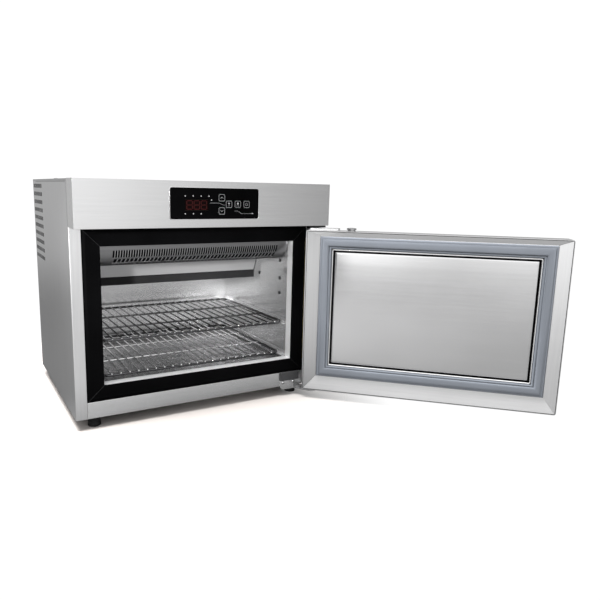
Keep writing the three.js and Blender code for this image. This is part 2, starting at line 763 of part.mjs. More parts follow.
// Ribbed seal in one mitred loop.
function doorGasket() {
  const { x0, x1, low, high, width, front, back } = SEAL;
  const section = [
    [0, back],
    [0, -8],
    [-2, -5.5],
    [-4.5, -5.5],
    [-6.5, front - 1.6],
    [-8.5, front],
    [-13, front],
    [-15, front - 1.6],
    [-16.5, -5.5],
    [-20, -5.5],
    [-width, -8],
    [-width, back],
  ];
  const loop = rectangle(x0, x1, low, high);
  return piece("door_gasket", sweepLoop(loop, section, (u, v, y) => [u, y, v]), SEAL_GREY);
}

// Polished inner panel: a raised rim round a slightly lower field.
function doorInnerPanel() {
  const { x0, x1, low, high, width } = SEAL;
  const edge = width + GAP;
  const [u0, u1, v0, v1] = [x0 + edge, x1 - edge, low + edge, high - edge];
  const base = box(u0, u1, -11.7, -6.5, v0, v1);
  const rim = 5;
  const field = box(u0 + rim, u1 - rim, -8.5, -5, v0 + rim, v1 - rim);
  return piece("door_inner_panel", cut(base, field), POLISHED);
}

// Plate on top of the door that the upper pin passes through.
function doorTopLeaf() {
  const outline = rectangle(LEAF.x0, LEAF.x1, LEAF.y0, LEAF.y1);
  const hole = circle(HINGE.x, HINGE.y, PIN_RADIUS + GAP, 16);
  return piece("door_top_leaf", slabZ(outline, DOOR.high + GAP, LEAF.top, [hole]), POLISHED);
}

function doorStud() {
  const { x, y, radius, top } = STUD;
  return piece("door_stud", cylinderZ(x, y, radius, DOOR.high + GAP, top, 16), DARK_METAL);
}

// Plastic bush in the door's bottom, turning on the lower pin.
function doorBottomBush() {
  const ring = slabZ(
    circle(HINGE.x, HINGE.y, BOTTOM_HOLE.radius - 0.4, 16),
    DOOR.low,
    BOTTOM_HOLE.high - 1,
    [circle(HINGE.x, HINGE.y, PIN_RADIUS + GAP, 16)],
  );
  return piece("door_bottom_bush", ring, BLACK);
}

// ---- Assembly ----

function doorGroup() {
  const drawnClosed = new THREE.Group();
  drawnClosed.position.set(-HINGE.x, -HINGE.y, 0);
  drawnClosed.add(doorOuterSkin(), doorInnerFrame(), doorCore(), doorInnerPanel(), doorGasket());
  drawnClosed.add(doorTopLeaf(), doorStud(), doorBottomBush());
  const turned = new THREE.Group();
  turned.position.set(HINGE.x, HINGE.y, 0);
  turned.rotation.z = DOOR_OPEN;
  turned.add(drawnClosed);
  return turned;
}

function cabinetGroup() {
  const cabinet = new THREE.Group();
  cabinet.add(sidePanel("left_side_panel", -1), sidePanel("right_side_panel", 1));
  cabinet.add(topPanel(), rearPanel(), basePan(), frontSill(), fasciaShell());
  cabinet.add(
    breakerStrip("breaker_strip_left", [-1, false], [-1, true]),
    breakerStrip("breaker_strip_right", [1, false], [1, true]),
    breakerStrip("breaker_strip_top", [-1, true], [1, true]),
    breakerStrip("breaker_strip_bottom", [-1, false], [1, false]),
  );
  cabinet.add(cavityThroat(), ...linerSheets());
  cabinet.add(sideInsulation("insulation_left", -1), sideInsulation("insulation_right", 1));
  cabinet.add(wrapInsulation());
  cabinet.add(
    foot("foot_front_left", -FOOT.x, FOOT.front),
    foot("foot_front_right", FOOT.x, FOOT.front),
    foot("foot_rear_left", -FOOT.x, FOOT.back),
    foot("foot_rear_right", FOOT.x, FOOT.back),
  );
  return cabinet;
}

function fittingsGroup() {
  const fittings = new THREE.Group();
  fittings.add(controlOverlay(), displayWindow(), controlBoard(), ...KEYS.map(key));
  fittings.add(grilleCover(), bafflePlate(), baffleLip(), fanMotor(), fanRotor());
  fittings.add(heaterElement(), temperatureProbe(), mainsInlet());
  fittings.add(wireShelf("upper_shelf", UPPER_SHELF), wireShelf("lower_shelf", LOWER_SHELF));
  for (const [level, shelf] of [["upper", UPPER_SHELF], ["lower", LOWER_SHELF]]) {
    fittings.add(shelfRail(`${level}_rail_left`, -1, shelf.z));
    fittings.add(shelfRail(`${level}_rail_right`, 1, shelf.z));
  }
  fittings.add(topHingeBracket(), bottomHingeBracket(), hingeSpacerBlock());
  fittings.add(...HINGE_SCREWS.map(hingeScrew));
  return fittings;
}

const unit = new THREE.Group();
unit.position.set(0, -DEPTH / 2, FOOT.height);
unit.add(cabinetGroup(), fittingsGroup(), doorGroup());

const group = new THREE.Group();
group.add(unit);

export default group;
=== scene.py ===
import json
import math

import bmesh
import bpy
from mathutils import Matrix, Vector


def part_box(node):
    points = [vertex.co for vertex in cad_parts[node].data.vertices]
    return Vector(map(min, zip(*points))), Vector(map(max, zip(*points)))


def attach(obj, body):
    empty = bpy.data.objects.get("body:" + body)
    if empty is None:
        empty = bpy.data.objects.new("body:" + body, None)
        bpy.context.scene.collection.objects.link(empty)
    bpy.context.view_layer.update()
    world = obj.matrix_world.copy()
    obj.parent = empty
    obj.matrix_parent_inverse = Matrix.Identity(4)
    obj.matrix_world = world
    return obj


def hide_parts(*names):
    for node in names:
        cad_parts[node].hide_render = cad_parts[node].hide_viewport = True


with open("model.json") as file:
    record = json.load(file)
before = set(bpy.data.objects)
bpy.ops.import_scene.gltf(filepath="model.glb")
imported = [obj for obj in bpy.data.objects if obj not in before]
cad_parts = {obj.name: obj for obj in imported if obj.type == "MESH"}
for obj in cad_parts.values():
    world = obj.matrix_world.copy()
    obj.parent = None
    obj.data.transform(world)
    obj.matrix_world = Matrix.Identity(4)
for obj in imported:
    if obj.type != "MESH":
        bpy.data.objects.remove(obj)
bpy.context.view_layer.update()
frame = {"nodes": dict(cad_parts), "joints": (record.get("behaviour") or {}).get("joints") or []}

NODES = frame["nodes"]
MM = 0.001
HINGE = next(j for j in frame["joints"] if j["name"] == "door_hinge")
# Turns a point of the closed door to where the door stands open in the frame.
DOOR_OPEN = math.radians(-HINGE["range_deg"][0])
DOOR_TURN = (
    Matrix.Translation(HINGE["pos_m"])
    @ Matrix.Rotation(DOOR_OPEN, 4, "Z")
    @ Matrix.Translation(HINGE["pos_m"]).inverted()
)
DOOR_BACK = DOOR_TURN.inverted()


# ---- Camera, lights and floor ----

# Place in metres, turns in degrees, lens and sensor in millimetres.
CAMERA_PLACE = (-0.43485, -1.2132, 0.4383)
CAMERA_YAW = -29.64
CAMERA_PITCH = -10.49
CAMERA_ROLL = 1.17
LENS = 34.70
SENSOR_WIDTH = 36
SHIFT = (0.0495, -0.0058)


def make_camera():
    data = bpy.data.cameras.new("camera")
    data.lens = LENS
    data.sensor_width = SENSOR_WIDTH
    data.shift_x, data.shift_y = SHIFT
    camera = bpy.data.objects.new("camera", data)
    turn = (
        Matrix.Rotation(math.radians(CAMERA_YAW), 4, "Z")
        @ Matrix.Rotation(math.radians(90 + CAMERA_PITCH), 4, "X")
        @ Matrix.Rotation(math.radians(CAMERA_ROLL), 4, "Z")
    )
    camera.matrix_world = Matrix.Translation(CAMERA_PLACE) @ turn
    bpy.context.scene.collection.objects.link(camera)
    bpy.context.scene.camera = camera


def make_light(name, kind, place, target, power):
    data = bpy.data.lights.new(name, kind)
    data.energy = power
    light = bpy.data.objects.new(name, data)
    light.location = place
    aim = Vector(target) - Vector(place)
    light.rotation_euler = aim.to_track_quat("-Z", "Y").to_euler()
    bpy.context.scene.collection.objects.link(light)
    return light


# ---- Node helpers ----


class Graph:
    """A small builder for one node tree."""

    def __init__(self, tree):
        self.tree = tree

    def node(self, kind, inputs=None, **settings):
        made = self.tree.nodes.new("ShaderNode" + kind)
        for name, value in settings.items():
            setattr(made, name, value)
        for name, value in (inputs or {}).items():
            self.put(made.inputs[name], value)
        return made

    def put(self, socket, value):
        if isinstance(value, bpy.types.NodeSocket):
            self.tree.links.new(value, socket)
        else:
            socket.default_value = value

    def maths(self, operation, a, b=0.0, c=0.0):
        made = self.node("Math", operation=operation)
        for socket, value in zip(made.inputs, (a, b, c)):
            self.put(socket, value)
        return made.outputs[0]

    def span(self, value, low, high, to_low, to_high):
        made = self.node("MapRange", {"Value": value, "From Min": low, "From Max": high})
        made.inputs["To Min"].default_value = to_low
        made.inputs["To Max"].default_value = to_high
        return made.outputs["Result"]

    def product(self, first, *others):
        for other in others:
            first = self.maths("MULTIPLY", first, other)
        return first

    def mix(self, factor, a, b):
        made = self.node("Mix", data_type="RGBA")
        self.put(made.inputs[0], factor)
        self.put(made.inputs[6], a)
        self.put(made.inputs[7], b)
        return made.outputs[2]

    def fade(self, where, centre, solid, gone):
        """1 within the solid distance of a centre, falling to 0 further off."""
        apart = self.node("VectorMath", operation="DISTANCE")
        self.put(apart.inputs[0], where)
        self.put(apart.inputs[1], centre)
        return self.span(apart.outputs["Value"], solid, gone, 1, 0)

    def place(self, turn=0.0, scale=(1, 1, 1)):
        """Object coordinates in metres, turned about Z and scaled."""
        where = self.node("TexCoord").outputs["Object"]
        first = self.node("Mapping", {"Vector": where, "Rotation": (0, 0, turn)})
        second = self.node("Mapping", {"Vector": first.outputs[0], "Scale": scale})
        return second.outputs[0]

    def noise(self, where, scale, detail=2.0, rough=0.5):
        made = self.node(
            "TexNoise", {"Vector": where, "Scale": scale, "Detail": detail, "Roughness": rough}
        )
        return made.outputs["Fac"]

    def bump(self, height, strength, distance):
        made = self.node("Bump", {"Height": height, "Strength": strength, "Distance": distance})
        return made.outputs["Normal"]


def new_material(name):
    material = bpy.data.materials.new(name)
    material.use_nodes = True
    graph = Graph(material.node_tree)
    shader = material.node_tree.nodes["Principled BSDF"]
    return material, graph, shader


def grey(value, tint):
    return tuple(value + t for t in tint) + (1,)


# Noise cells per metre: across the grain for hairs and for streaks, and along it.
GRAIN_FINE = 2600.0
GRAIN_WIDE = 260.0
GRAIN_LONG = 6.0
# What each layer adds to the level that sets the steel's colour and roughness.
HAIR_SHARE, STREAK_SHARE, SMUDGE_SHARE = 0.10, 0.16, 0.08
STEEL_TINT = (0, 0, 0.004)


def steel(base, rough, along, turn=0.0, grain=1.0, anisotropy=0.5, metal=1.0):
    """Brushed sheet whose grain runs along one axis: 'x', 'y' or 'z'."""
    material, graph, shader = new_material("steel")
    fine = [GRAIN_FINE] * 3
    wide = [GRAIN_WIDE] * 3
    axis = "xyz".index(along)
    fine[axis] = GRAIN_LONG * 4
    wide[axis] = GRAIN_LONG
    hair = graph.noise(graph.place(turn, fine), 1.0, 3.0, 0.6)
    streak = graph.noise(graph.place(turn, wide), 1.0, 2.0, 0.6)
    smudge = graph.noise(graph.place(turn), 7.0, 4.0, 0.55)
    level = graph.product(hair, HAIR_SHARE * grain)
    level = graph.maths("MULTIPLY_ADD", streak, STREAK_SHARE * grain, level)
    level = graph.maths("MULTIPLY_ADD", smudge, SMUDGE_SHARE, level)
    top = (HAIR_SHARE + STREAK_SHARE) * grain + SMUDGE_SHARE
    colour = graph.mix(
        graph.span(level, 0.3 * top, 0.7 * top, 0, 1),
        grey(base * 0.93, STEEL_TINT),
        grey(base * 1.05, STEEL_TINT),
    )
    graph.put(shader.inputs["Base Color"], colour)
    shader.inputs["Metallic"].default_value = metal
    graph.put(shader.inputs["Roughness"], graph.span(level, 0, top, rough - 0.05, rough + 0.07))
    shader.inputs["Anisotropic"].default_value = anisotropy
    if anisotropy > 0:
        # The grain's direction, tilted a little so that no flat face is square to it.
        grain_line = Vector((0.02, 0.03, 0.025))
        grain_line[axis] = 1.0
        tangent = graph.node(
            "VectorTransform",
            {"Vector": Matrix.Rotation(-turn, 3, "Z") @ grain_line},
            vector_type="VECTOR",
            convert_from="OBJECT",
            convert_to="WORLD",
        )
        graph.put(shader.inputs["Tangent"], tangent.outputs[0])
        # Highlights on brushed steel stretch across its grain.
        shader.inputs["Anisotropic Rotation"].default_value = 0.25
    graph.put(shader.inputs["Normal"], graph.bump(hair, 0.12 * grain, 0.00002))
    return material


def plastic(colour, rough, specular=0.3, grain=900.0, relief=0.15, vary=0.25):
    """Moulded plastic, rubber or paint with a fine texture and uneven gloss."""
    material, graph, shader = new_material("plastic")
    where = graph.place()
    texture = graph.noise(where, grain, 2.0, 0.6)
    cloud = graph.noise(where, 14.0, 4.0, 0.6)
    low = tuple(c * (1 - vary) for c in colour) + (1,)
    high = tuple(c * (1 + vary) for c in colour) + (1,)
    graph.put(shader.inputs["Base Color"], graph.mix(graph.span(cloud, 0.3, 0.7, 0, 1), low, high))
    graph.put(shader.inputs["Roughness"], graph.span(cloud, 0.3, 0.7, rough - 0.05, rough + 0.05))
    shader.inputs["Specular IOR Level"].default_value = specular
    graph.put(shader.inputs["Normal"], graph.bump(texture, relief, 0.00005))
    return material


# ---- Setting: lights, world and floor ----

WHITE = (1, 1, 1, 1)
# Seen straight on, the backdrop is a little over white, so that it renders as pure white.
BACKDROP_LEVEL = 1.05
# Brightness that reflections see: the room, and what each part of it adds.
ROOM_LEVEL = 0.37
SOFT_BOX_LEVEL = 0.79
BEHIND_LEVEL = 0.16
PATCH_LEVEL = 1.2
CEILING_LEVEL = 0.7
GROUND_SHARE = 0.5
# Where the soft box stands, and how far off its middle it starts and ends fading.
SOFT_BOX_HEADING = math.radians(-13)
SOFT_BOX_SOLID, SOFT_BOX_FADE = math.radians(23), math.radians(50)
# Headings at which the patch starts, is full, and is gone.
PATCH_START, PATCH_FULL, PATCH_END = (math.radians(angle) for angle in (-57, -51, -42))


def make_world():
    """White seen straight on. In reflections, a soft box in front and grey round it."""
    world = bpy.data.worlds.new("studio")
    bpy.context.scene.world = world
    world.use_nodes = True
    graph = Graph(world.node_tree)
    world.node_tree.nodes.clear()
    out = graph.node("OutputWorld")
    direction = graph.node("TexCoord").outputs["Generated"]
    x, y, z = graph.node("SeparateXYZ", {"Vector": direction}).outputs
    # Angle from straight ahead of the cabinet, towards its right.
    heading = graph.maths("ARCTAN2", x, graph.product(y, -1.0))
    off = graph.maths("ABSOLUTE", graph.maths("SUBTRACT", heading, SOFT_BOX_HEADING))
    soft_box = graph.span(off, SOFT_BOX_SOLID, SOFT_BOX_FADE, 1.0, 0.0)
    around = graph.maths("MULTIPLY_ADD", soft_box, SOFT_BOX_LEVEL, ROOM_LEVEL)
    # The side panel's reflections come from behind on the left.
    around = graph.maths("ADD", around, graph.span(y, 0.2, 0.9, 0.0, BEHIND_LEVEL))
    # A brighter patch low on the far left, which only the open door faces.
    patch = graph.product(
        graph.span(heading, PATCH_FULL, PATCH_END, PATCH_LEVEL, 0.0),
        graph.span(z, -0.17, -0.11, 0.0, 1.0),
        graph.span(heading, PATCH_START, PATCH_FULL, 0.0, 1.0),
        graph.span(y, -0.5, -0.4, 1.0, 0.0),
    )
    around = graph.maths("ADD", around, patch)
    ground = graph.span(z, -0.4, -0.03, GROUND_SHARE, 1.0)
    ceiling = graph.span(z, 0.3, 0.8, 0.0, CEILING_LEVEL)
    level = graph.maths("MULTIPLY_ADD", around, ground, ceiling)
    seen = graph.node("LightPath").outputs["Is Camera Ray"]
    mirrored = graph.node("Background", {"Color": WHITE, "Strength": level})
    backdrop = graph.node("Background", {"Color": WHITE, "Strength": BACKDROP_LEVEL})
    both = graph.node("MixShader", {"Fac": seen})
    graph.put(both.inputs[1], mirrored.outputs[0])
    graph.put(both.inputs[2], backdrop.outputs[0])
    graph.put(out.inputs["Surface"], both.outputs[0])


FLOOR_SIZE = 8.0
FLOOR_COLOUR = (0.49, 0.46, 0.44, 1)
# Distances over which the floor fades out in reflections.
FLOOR_SOLID = 1.1
FLOOR_FADE = 2.6
# Distances over which it blends into the white when seen straight on.
SHADOW_CENTRE = (-0.1, 0, 0)
SHADOW_SOLID = 0.33
SHADOW_FADE = 0.58


def make_floor():
    """A pale floor that fades out with distance, sooner when seen straight on."""
    mesh = bpy.data.meshes.new("floor")
    half = FLOOR_SIZE / 2
    corners = [(-half, -half, 0), (half, -half, 0), (half, half, 0), (-half, half, 0)]
    mesh.from_pydata(corners, [], [(0, 1, 2, 3)])
    floor = bpy.data.objects.new("floor", mesh)
    bpy.context.scene.collection.objects.link(floor)
    material, graph, shader = new_material("pale_floor")
    where = graph.node("TexCoord").outputs["Object"]
    seen = graph.node("LightPath").outputs["Is Camera Ray"]
    unseen = graph.maths("SUBTRACT", 1.0, seen)
    # In reflections the floor carries painted shade: darker close to the cabinet, behind it and to
    # its right.
    split = graph.node("SeparateXYZ", {"Vector": where}).outputs
    mirrored = graph.product(
        graph.span(split["Y"], -0.45, -0.25, 0.22, 0.14),
        graph.span(split["Y"], -0.25, 0.0, 1.0, 0.48),
        graph.span(split["X"], -0.25, 0.25, 1.0, 0.78),
    )
    graph.put(shader.inputs["Base Color"], graph.mix(seen, mirrored, FLOOR_COLOUR))
    shader.inputs["Roughness"].default_value = 0.9
    shader.inputs["Specular IOR Level"].default_value = 0.0
    wide = graph.fade(where, (0, 0, 0), FLOOR_SOLID, FLOOR_FADE)
    near = graph.fade(where, SHADOW_CENTRE, SHADOW_SOLID, SHADOW_FADE)
    alpha = graph.maths("ADD", graph.product(unseen, wide), graph.product(seen, near))
    graph.put(shader.inputs["Alpha"], alpha)
    mesh.materials.append(material)


OVERHEAD_PLACE, OVERHEAD_TARGET = (-0.6, -0.35, 2.2), (0, -0.1, 0)
OVERHEAD_SIZE = (1.2, 1.0)
OVERHEAD_POWER = 160
# The beam comes from this far off its target, which is this far off the opening's middle.
BEAM_FROM = (-1.32, -1.5, 0.38)
BEAM_AIM = (0.0, 0.04, 0.05)
BEAM_POWER = 610
BEAM_DEGREES = 11
BEAM_RADIUS = 0.14


def make_lights():
    """Soft light from above for floor and plastics, and a beam into the cavity from the left."""
    overhead = make_light("overhead", "AREA", OVERHEAD_PLACE, OVERHEAD_TARGET, OVERHEAD_POWER)
    overhead.data.shape = "RECTANGLE"
    overhead.data.size, overhead.data.size_y = OVERHEAD_SIZE
    overhead.visible_glossy = False
    low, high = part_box("cavity_throat")
    target = (low + high) / 2 + Vector(BEAM_AIM)
    beam = make_light("cavity_beam", "SPOT", target + Vector(BEAM_FROM), target, BEAM_POWER)
    beam.data.spot_size = math.radians(BEAM_DEGREES)
    beam.data.spot_blend = 1.0
    beam.data.shadow_soft_size = BEAM_RADIUS


# ---- Mesh helpers ----


def piece(name, bm, body, material, slot, replaces=(), smooth=False, sharp=None):
    """Makes an object of a bmesh, riding on a body. Door pieces are drawn with the door shut.

    Shading is flat, smooth all over, or smooth except at edges of more than `sharp` degrees.
    """
    bmesh.ops.recalc_face_normals(bm, faces=bm.faces)
    if body == "door":
        bm.transform(DOOR_TURN)
    mesh = bpy.data.meshes.new(name)
    bm.to_mesh(mesh)
    bm.free()
    made = bpy.data.objects.new(name, mesh)
    bpy.context.scene.collection.objects.link(made)
    for entry in material if isinstance(material, list) else [material]:
        mesh.materials.append(entry)
    if smooth or sharp:
        mesh.shade_smooth()
    if sharp:
        mesh.set_sharp_from_angle(angle=math.radians(sharp))
    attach(made, body)
    if replaces:
        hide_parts(*replaces)
    return made


def shut_box(node):
    """Lowest and highest corner of a door node with the door shut."""
    points = [DOOR_BACK @ vertex.co for vertex in NODES[node].data.vertices]
    lows = [min(point[axis] for point in points) for axis in range(3)]
    highs = [max(point[axis] for point in points) for axis in range(3)]
    return Vector(lows), Vector(highs)


QUARTER = math.pi / 2


def angles(turn, steps):
    """Even steps from 0 to a turn, in radians."""
    return [turn * step / steps for step in range(steps + 1)]


def arc(u, v, radius, start, turn, steps):
    """Points round a centre, from a starting angle through a turn."""
    around = [start + angle for angle in angles(turn, steps)]
    return [(u + radius * math.cos(a), v + radius * math.sin(a)) for a in around]


def rounded(u0, u1, v0, v1, radius, steps=6):
    """Anticlockwise rectangle with round corners."""
    centres = [(u1 - radius, v1 - radius), (u0 + radius, v1 - radius)]
    centres += [(u0 + radius, v0 + radius), (u1 - radius, v0 + radius)]
    loop = []
    for corner, (u, v) in enumerate(centres):
        loop += arc(u, v, radius, corner * QUARTER, QUARTER, steps)
    return loop


def box_outline(u0, u1, v0, v1):
    return [(u0, v0), (u1, v0), (u1, v1), (u0, v1)]


def ring(u, v, radius, sides):
    return arc(u, v, radius, math.pi / sides, 2 * math.pi, sides)[:-1]


def normal_of(a, b):
    """Unit normal to the right of the way from a to b."""
    length = math.hypot(b[0] - a[0], b[1] - a[1])
    return (b[1] - a[1]) / length, -(b[0] - a[0]) / length


def cell(grid, i, j):
    """Corners of one face of a grid of points."""
    return grid[i][j], grid[i + 1][j], grid[i + 1][j + 1], grid[i][j + 1]


def join_rows(bm, near, far, material):
    """A closed band of faces between two rows of points."""
    for i in range(len(near)):
        j = (i + 1) % len(near)
        bm.faces.new((near[i], far[i], far[j], near[j])).material_index = material


def sweep(bm, path, section, place, closed=True, material=0):
    """Moves a closed section of (offset, height) along a flat path with mitred corners."""
    count = len(path)
    rows = []
    for i, (u, v) in enumerate(path):
        before = path[i - 1] if closed or i > 0 else None
        after = path[(i + 1) % count] if closed or i < count - 1 else None
        n1 = normal_of(before, (u, v)) if before else normal_of((u, v), after)
        n2 = normal_of((u, v), after) if after else n1
        scale = 1 / (1 + n1[0] * n2[0] + n1[1] * n2[1])
        mitre = ((n1[0] + n2[0]) * scale, (n1[1] + n2[1]) * scale)
        points = [place(u + mitre[0] * o, v + mitre[1] * o, h) for o, h in section]
        rows.append([bm.verts.new(point) for point in points])
    for i in range(count if closed else count - 1):
        join_rows(bm, rows[i], rows[(i + 1) % count], material)
    if not closed:
        for row in (rows[0], rows[-1]):
            bm.faces.new(row).material_index = material


def turned(bm, origin, axis, profile, sides=16, material=0):
    """Turns (radius, distance along axis) points round an axis; radius 0 closes an end."""
    axis = Vector(axis).normalized()
    side = axis.orthogonal().normalized()
    other = axis.cross(side)
    rows = []
    for radius, along in profile:
        centre = Vector(origin) + axis * along
        if radius == 0:
            rows.append([bm.verts.new(centre)])
            continue
        turns = [2 * math.pi * i / sides for i in range(sides)]
        points = [centre + (side * math.cos(a) + other * math.sin(a)) * radius for a in turns]
        rows.append([bm.verts.new(point) for point in points])
    for near, far in zip(rows, rows[1:]):
        for i in range(sides):
            j = (i + 1) % sides
            corners = [near[i % len(near)], near[j % len(near)], far[j % len(far)], far[i % len(far)]]
            unique = list(dict.fromkeys(corners))
            if len(unique) > 2:
                bm.faces.new(unique).material_index = material


def post(low, high):
    """Foot of the axis, radius and height of an upright round part, from its box."""
    middle = (low + high) / 2
    return (middle.x, middle.y, low.z), (high.x - low.x) / 2, high.z - low.z


def rod(bm, start, end, radius, sides=10, material=0):
    """Straight wire with domed ends."""
    start, end = Vector(start), Vector(end)
    length = (end - start).length
    half = radius * math.sqrt(0.5)
    profile = [(0, 0), (half, radius - half), (radius, radius)]
    profile += [(r, length - t) for r, t in reversed(profile)]
    turned(bm, start, end - start, profile, sides, material)


def prism(bm, outline, near, far, place, material=0):
    """A flat outline given depth."""
    fronts = [bm.verts.new(place(u, v, near)) for u, v in outline]
    backs = [bm.verts.new(place(u, v, far)) for u, v in outline]
    bm.faces.new(fronts).material_index = material
    bm.faces.new(list(reversed(backs))).material_index = material
    join_rows(bm, fronts, backs, material)


def upright(u, v, depth):
    """(x, z) outline with its depth along y."""
    return Vector((u, depth, v))


def lying(u, v, depth):
    """(x, y) outline with its depth along z."""
    return Vector((u, v, depth))


def sideways(u, v, depth):
    """(y, z) outline with its depth along x."""
    return Vector((depth, u, v))


def swept(name, loop, section, body, material, slot, *rest, **shading):
    """A piece made of one section, taken round an upright loop."""
    bm = bmesh.new()
    sweep(bm, loop, section, upright)
    piece(name, bm, body, material, slot, *rest, **shading)


def bevel(made, width, segments=2, angle=35):
    modifier = made.modifiers.new("bevel", "BEVEL")
    modifier.width = width
    modifier.segments = segments
    modifier.limit_method = "ANGLE"
    modifier.angle_limit = math.radians(angle)
    made.data.shade_smooth()
    evened = made.modifiers.new("evened", "WEIGHTED_NORMAL")
    evened.weight = 100


def thicken(made, thickness, offset):
    modifier = made.modifiers.new("thickness", "SOLIDIFY")
    modifier.thickness = thickness
    modifier.offset = offset


def soften(node, width, segments=2):
    """Gives a carried-over CAD node merged, rounded edges."""
    made = NODES[node]
    weld = made.modifiers.new("weld", "WELD")
    weld.merge_threshold = 1e-6
    flat = made.modifiers.new("flat", "DECIMATE")
    flat.decimate_type = "DISSOLVE"
    flat.angle_limit = math.radians(0.3)
    bevel(made, width, segments)


# ---- Looks of the carried-over CAD nodes ----

# Steel with hardly any grain.
PLAIN = {"grain": 0.2, "anisotropy": 0.0}


def make_looks():
    """Every material, by name. A door material's grain is turned with the open door."""
    turn = -DOOR_OPEN
    looks = {
        "fascia": steel(0.78, 0.22, "x"),
        "upright": steel(0.70, 0.34, "z"),
        "lid": steel(0.50, 0.34, "x"),
        "door_skin": steel(0.74, 0.30, "z", turn),
        # The door band is one steel: its strips take lighter copies at the bottom and latch side and
        # darker ones at the hinge side and top, as painted reflection and painted shade.
        "band_bottom": steel(0.84, 0.30, "x", turn, metal=0.75),
        "band_hinge": steel(0.46, 0.30, "z", turn, grain=1.3, metal=0.72),
        "band_top": steel(0.41, 0.30, "x", turn),
        "band_latch": steel(0.88, 0.30, "z", turn),
        "stud": steel(0.4, 0.3, "z", grain=0.5, anisotropy=0.0),
        "mirror": steel(0.67, 0.16, "x", turn, grain=0.35, anisotropy=0.0),
        "liner": steel(0.82, 0.18, "z", grain=0.07, anisotropy=0.2, metal=0.75),
        # The right wall takes a darker copy of the liner steel, as painted shade.
        "liner_painted_shade": steel(0.58, 0.18, "z", grain=0.07, anisotropy=0.2, metal=0.8),
        # The cavity floor takes a much darker copy of the liner steel, as painted shade.
        "liner_floor": steel(0.35, 0.2, "y", metal=0.8, **PLAIN),
        "throat": steel(0.92, 0.40, "z", metal=0.6, **PLAIN),
        "baffle": steel(0.48, 0.32, "x", grain=0.6, metal=0.7),
        # The duct sheet in two copies of one steel: a dark one as painted shade, and a light one for
        # the bars between slots as a painted highlight.
        "duct": steel(0.23, 0.30, "x", grain=0.6),
        "duct_bar_highlight": steel(0.55, 0.30, "x", grain=0.6),
        # The shelves are one chrome: the rims and the upper shelf's wires are darkened and the lower
        # shelf's wires lightened, as painted reflections.
        "rim": steel(0.10, 0.10, "x", **PLAIN),
        "upper_wire": steel(0.16, 0.10, "y", **PLAIN),
        "lower_wire": steel(0.95, 0.16, "y", **PLAIN),
        # Also used as painted highlight on the wire ends, the band's fold and the panel bezel.
        "bright": steel(0.92, 0.14, "x", **PLAIN),
        "plate": steel(0.88, 0.24, "x", grain=0.6, anisotropy=0.0),
        "black": plastic((0.0016, 0.0016, 0.0018), 0.45, 0.02),
        "dark": plastic((0.022, 0.022, 0.023), 0.45, 0.2),
        "lip": plastic((0.012, 0.012, 0.0125), 0.5, 0.1),
        "block": plastic((0.05, 0.05, 0.052), 0.45, 0.2),
        "shade": plastic((0.003, 0.003, 0.0035), 0.8, 0.02),
        "gloss": plastic((0.001, 0.001, 0.0011), 0.25, 0.02, relief=0.02),
        "glass": plastic((0.003, 0.001, 0.001), 0.2, 0.03, relief=0.01),
        "print": plastic((0.26, 0.265, 0.27), 0.5, 0.1, relief=0.02, vary=0.12),
        "digit": plastic((0.019, 0.004, 0.004), 0.4, 0.05, relief=0.02),
        "lens": plastic((0.3, 0.3, 0.3), 0.3, 0.3, relief=0.02, vary=0.1),
        "board": plastic((0.02, 0.11, 0.05), 0.5),
        "seal": plastic((0.149, 0.162, 0.184), 0.42, 0.35, relief=0.08, vary=0.05),
        "foam": plastic((0.55, 0.46, 0.26), 0.9, 0.1, 500.0, 0.6),
        "moulding": plastic((0.012, 0.012, 0.013), 0.5),
        "rubber": plastic((0.010, 0.010, 0.010), 0.65, 0.25),
    }
    for name, material in looks.items():
        material.name = name
    return looks


KEY_NAMES = ("key_raise", "key_lower", "key_mode", "key_timer", "key_power")
FOOT_NAMES = ("foot_front_left", "foot_front_right", "foot_rear_left", "foot_rear_right")
# The CAD nodes that take each look.
PAINTED = {
    "fascia": ["fascia_shell", "front_sill"],
    "upright": ["left_side_panel", "right_side_panel", "rear_panel"],
    "lid": ["top_panel", "base_pan"],
    "door_skin": ["door_outer_skin", "door_inner_frame"],
    "mirror": ["door_inner_panel"],
    "liner": ["liner_left_wall", "liner_rear_wall", "liner_ceiling", "temperature_probe"]
    + [f"{level}_rail_{side}" for level in ("upper", "lower") for side in ("left", "right")],
    "liner_painted_shade": ["liner_right_wall"],
    "liner_floor": ["liner_floor"],
    "throat": ["cavity_throat"],
    "duct": ["grille_cover"],
    "baffle": ["baffle_plate"],
    "upper_wire": ["upper_shelf"],
    "lower_wire": ["lower_shelf"],
    "plate": ["bottom_hinge_bracket", "hinge_screw_left", "hinge_screw_right", "door_top_leaf"],
    "black": [f"breaker_strip_{side}" for side in ("left", "right", "top", "bottom")],
    "lip": ["baffle_lip"],
    "block": ["hinge_spacer_block"],
    "dark": ["fan_motor", "heater_element", "top_hinge_bracket", "door_stud"],
    "gloss": ["control_overlay", *KEY_NAMES],
    "glass": ["display_window"],
    "board": ["control_board"],
    "seal": ["door_gasket"],
    "foam": ["insulation_left", "insulation_right", "insulation_wrap", "door_core"],
    "moulding": ["fan_rotor", "mains_inlet", "door_bottom_bush"],
    "rubber": FOOT_NAMES,
}


def paint_nodes(look):
    for name, nodes in PAINTED.items():
        for node in nodes:
            slots = NODES[node].data.materials
            slots.clear()
            slots.append(look[name])


def soften_nodes():
    for node in ("fascia_shell", "door_outer_skin"):
        soften(node, 0.35 * MM)
    soften("front_sill", 0.5 * MM)
    soften("top_panel", 0.9 * MM, 3)


# ---- Cabinet pieces ----

